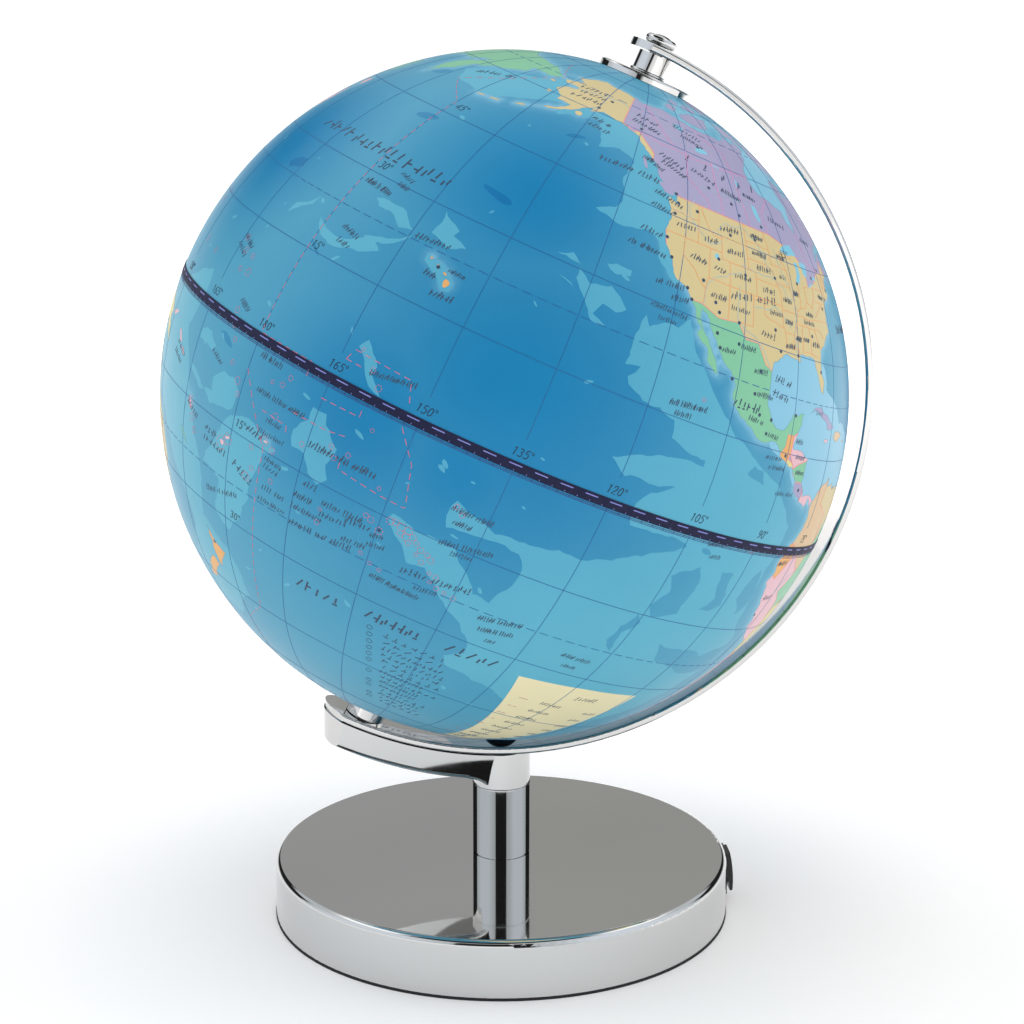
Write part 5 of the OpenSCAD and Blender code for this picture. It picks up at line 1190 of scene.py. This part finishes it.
dash_ink = Ink(TAPE_TOP - 0.05 * MM, TAPE_TOP + 0.02 * MM)
for lon in range(0, 360, 4):
    dash_ink.stroke(directions([(lon + j, 0.28) for j in (0, 1, 2)]), DASH_LINE)
for lon in range(1, 360, 2):
    dash_ink.stroke(directions([(lon, -0.62), (lon, -0.44)]), TICK_LINE)
dash_ink.piece("tape_dashes", ink("tape_dash_ink", "7C82C6"), "tape_print")
scale = Ink()
for lat in (-0.98, -1.2):
    scale.stroke(parallel(lat), RULE_LINE, closed=True)
for lon in range(0, 360, 2):
    scale.stroke(directions([(lon, -0.8), (lon, -1.2)]), RULE_TICK)
scale.piece("print_equator_scale", ink("scale_ink", "2A2468"))

# ---- camera --------------------------------------------------------------------------------------

CAMERA_AZ, CAMERA_EL = math.radians(-0.668), math.radians(9.40)
CAMERA_REACH = 0.6179              # from the ball's centre
AIM = (-0.0036, -0.0544, 0.0011)   # side, down and roll, in radians
back = Vector((math.sin(CAMERA_AZ) * math.cos(CAMERA_EL), -math.cos(CAMERA_AZ) * math.cos(CAMERA_EL),
               math.sin(CAMERA_EL)))
camera = bpy.data.objects.new("camera", bpy.data.cameras.new("camera"))
camera.data.sensor_width = 36
camera.data.lens = 73.82
camera.data.clip_start = 0.05
side_axis = Vector((0, 0, 1)).cross(back).normalized()
facing = Matrix((side_axis, back.cross(side_axis), back)).transposed()
aim = Matrix.Rotation(AIM[0], 3, "Y") @ Matrix.Rotation(AIM[1], 3, "X") @ Matrix.Rotation(AIM[2], 3, "Z")
camera.matrix_world = Matrix.Translation(BALL_CENTRE + back * CAMERA_REACH) @ (facing @ aim).to_4x4()
scene.collection.objects.link(camera)
scene.camera = camera

# ---- studio --------------------------------------------------------------------------------------


def studio_floor():
    """Pale paper that glows: weakly next to the object, where the glow lifts its shadow as painted light, and more
    away from it so that it stays white to the horizon.
    """
    f = Finish("studio_floor", Roughness=0.9)
    f.set("Base Color", f.ramp(f.noise(3, 2), (0.3, (0.95, 0.925, 0.91)), (0.7, (0.97, 0.945, 0.93))))
    place = f.node("ShaderNodeTexCoord").outputs["Object"]
    reach = f.node("ShaderNodeVectorMath", place, operation="LENGTH").outputs["Value"]
    f.set("Emission Color", f.ramp(f.noise(2, 2), (0.3, (1.0, 0.97, 0.95)), (0.7, (1.0, 0.98, 0.96))))
    # emission from the floor itself: painted light, least next to the base where it lightens the shadow
    f.set("Emission Strength", f.ramp(reach, (0.07, 0.09), (0.14, 0.19), (0.45, 0.24), (1.0, 0.65)))
    ring = [(7 * math.cos(t), 7 * math.sin(t), 0) for t in np.linspace(0, math.tau, 65)[:-1]]
    mesh = bpy.data.meshes.new("studio_floor")
    mesh.from_pydata(ring, [], [tuple(range(64))])
    mesh.materials.append(f.material)
    floor = bpy.data.objects.new("studio_floor", mesh)
    scene.collection.objects.link(floor)


def studio_world():
    """Light by direction: a white tent, grey walls, and black gaps that show in the chrome."""
    world = bpy.data.worlds.new("studio")
    scene.world = world
    world.use_nodes = True
    tree = world.node_tree
    new, link = tree.nodes.new, tree.links.new

    def math_node(operation, *values):
        made = new("ShaderNodeMath")
        made.operation = operation
        for k, value in enumerate(values):
            if isinstance(value, (int, float)):
                made.inputs[k].default_value = value
            else:
                link(value, made.inputs[k])
        return made.outputs[0]

    def band(value, low, high, soft):
        """1 between low and high, with soft edges."""
        rise = math_node("MAXIMUM", 0.0, math_node(
            "DIVIDE", math_node("SUBTRACT", value, low - soft), 2 * soft))
        fall = math_node("MAXIMUM", 0.0, math_node(
            "DIVIDE", math_node("SUBTRACT", high + soft, value), 2 * soft))
        return math_node("MULTIPLY", math_node("MINIMUM", 1.0, rise), math_node("MINIMUM", 1.0, fall))

    place = new("ShaderNodeSeparateXYZ")
    link(new("ShaderNodeTexCoord").outputs["Generated"], place.inputs[0])
    x, y, z = place.outputs
    lift = math_node("DEGREES", math_node("ARCSINE", z))
    turn = math_node("DEGREES", math_node("ARCTAN2", x, math_node("MULTIPLY", y, -1.0)))
    glow = TENT_GLOW
    for (turn_low, turn_high, lift_low, lift_high, soft), level in STUDIO_BANDS:
        mixed = new("ShaderNodeMix")
        mixed.data_type = "RGBA"
        factor, under, over = mixed.inputs[0], mixed.inputs[6], mixed.inputs[7]
        across, up = band(turn, turn_low, turn_high, soft), band(lift, lift_low, lift_high, soft)
        link(math_node("MULTIPLY", across, up), factor)
        if glow is TENT_GLOW:
            under.default_value = (*glow, 1)
        else:
            link(glow, under)
        over.default_value = (*level, 1)
        glow = mixed.outputs[2]
    link(glow, tree.nodes["Background"].inputs["Color"])
    tree.nodes["Background"].inputs["Strength"].default_value = 1.0


# turn (0 towards the camera, positive to the right), height above the horizon, softness; then the colour
TENT_GLOW = (1.08, 1.08, 1.08)
DARK = (0.02, 0.02, 0.02)
STUDIO_BANDS = (
    ((-190, 190, 47, 61, 4), (1.5, 1.5, 1.5)),
    ((-190, 190, 64, 95, 4), DARK),
    ((-70, 70, 48, 95, 4), DARK),
    ((-190, 190, 6, 46, 3), (0.65, 0.69, 0.72)),
    ((-104, -40, 6, 46, 12), (0.88, 0.95, 1.04)),
    ((40, 104, 6, 46, 12), (0.88, 0.95, 1.04)),
    ((-190, -166, 6, 46, 2), (0.41, 0.41, 0.41)),
    ((166, 190, 6, 46, 2), (0.40, 0.40, 0.385)),
    ((-166, -117, 12, 30, 1.5), DARK),
    ((117, 166, 12, 30, 1.5), DARK),
    ((-24, 20.5, 5.5, 44, 1.5), DARK),
)


def soft_light(name, place, size, power):
    """A square area light aimed at the ball, kept out of the reflections."""
    lamp = bpy.data.lights.new(name, "AREA")
    lamp.size = size
    lamp.energy = power
    holder = bpy.data.objects.new(name, lamp)
    holder.location = place
    holder.rotation_euler = (BALL_CENTRE - Vector(place)).to_track_quat("-Z", "Y").to_euler()
    holder.visible_glossy = False
    scene.collection.objects.link(holder)


studio_floor()
studio_world()
soft_light("key", (-1.4, 0.9, 2.0), 1.4, 8)
soft_light("fill", (1.8, 0.4, 1.6), 1.4, 6)
soft_light("top", (0.0, -0.5, 2.4), 2.4, 22)
soft_light("front", (0.2, -2.4, 0.7), 1.6, 9)
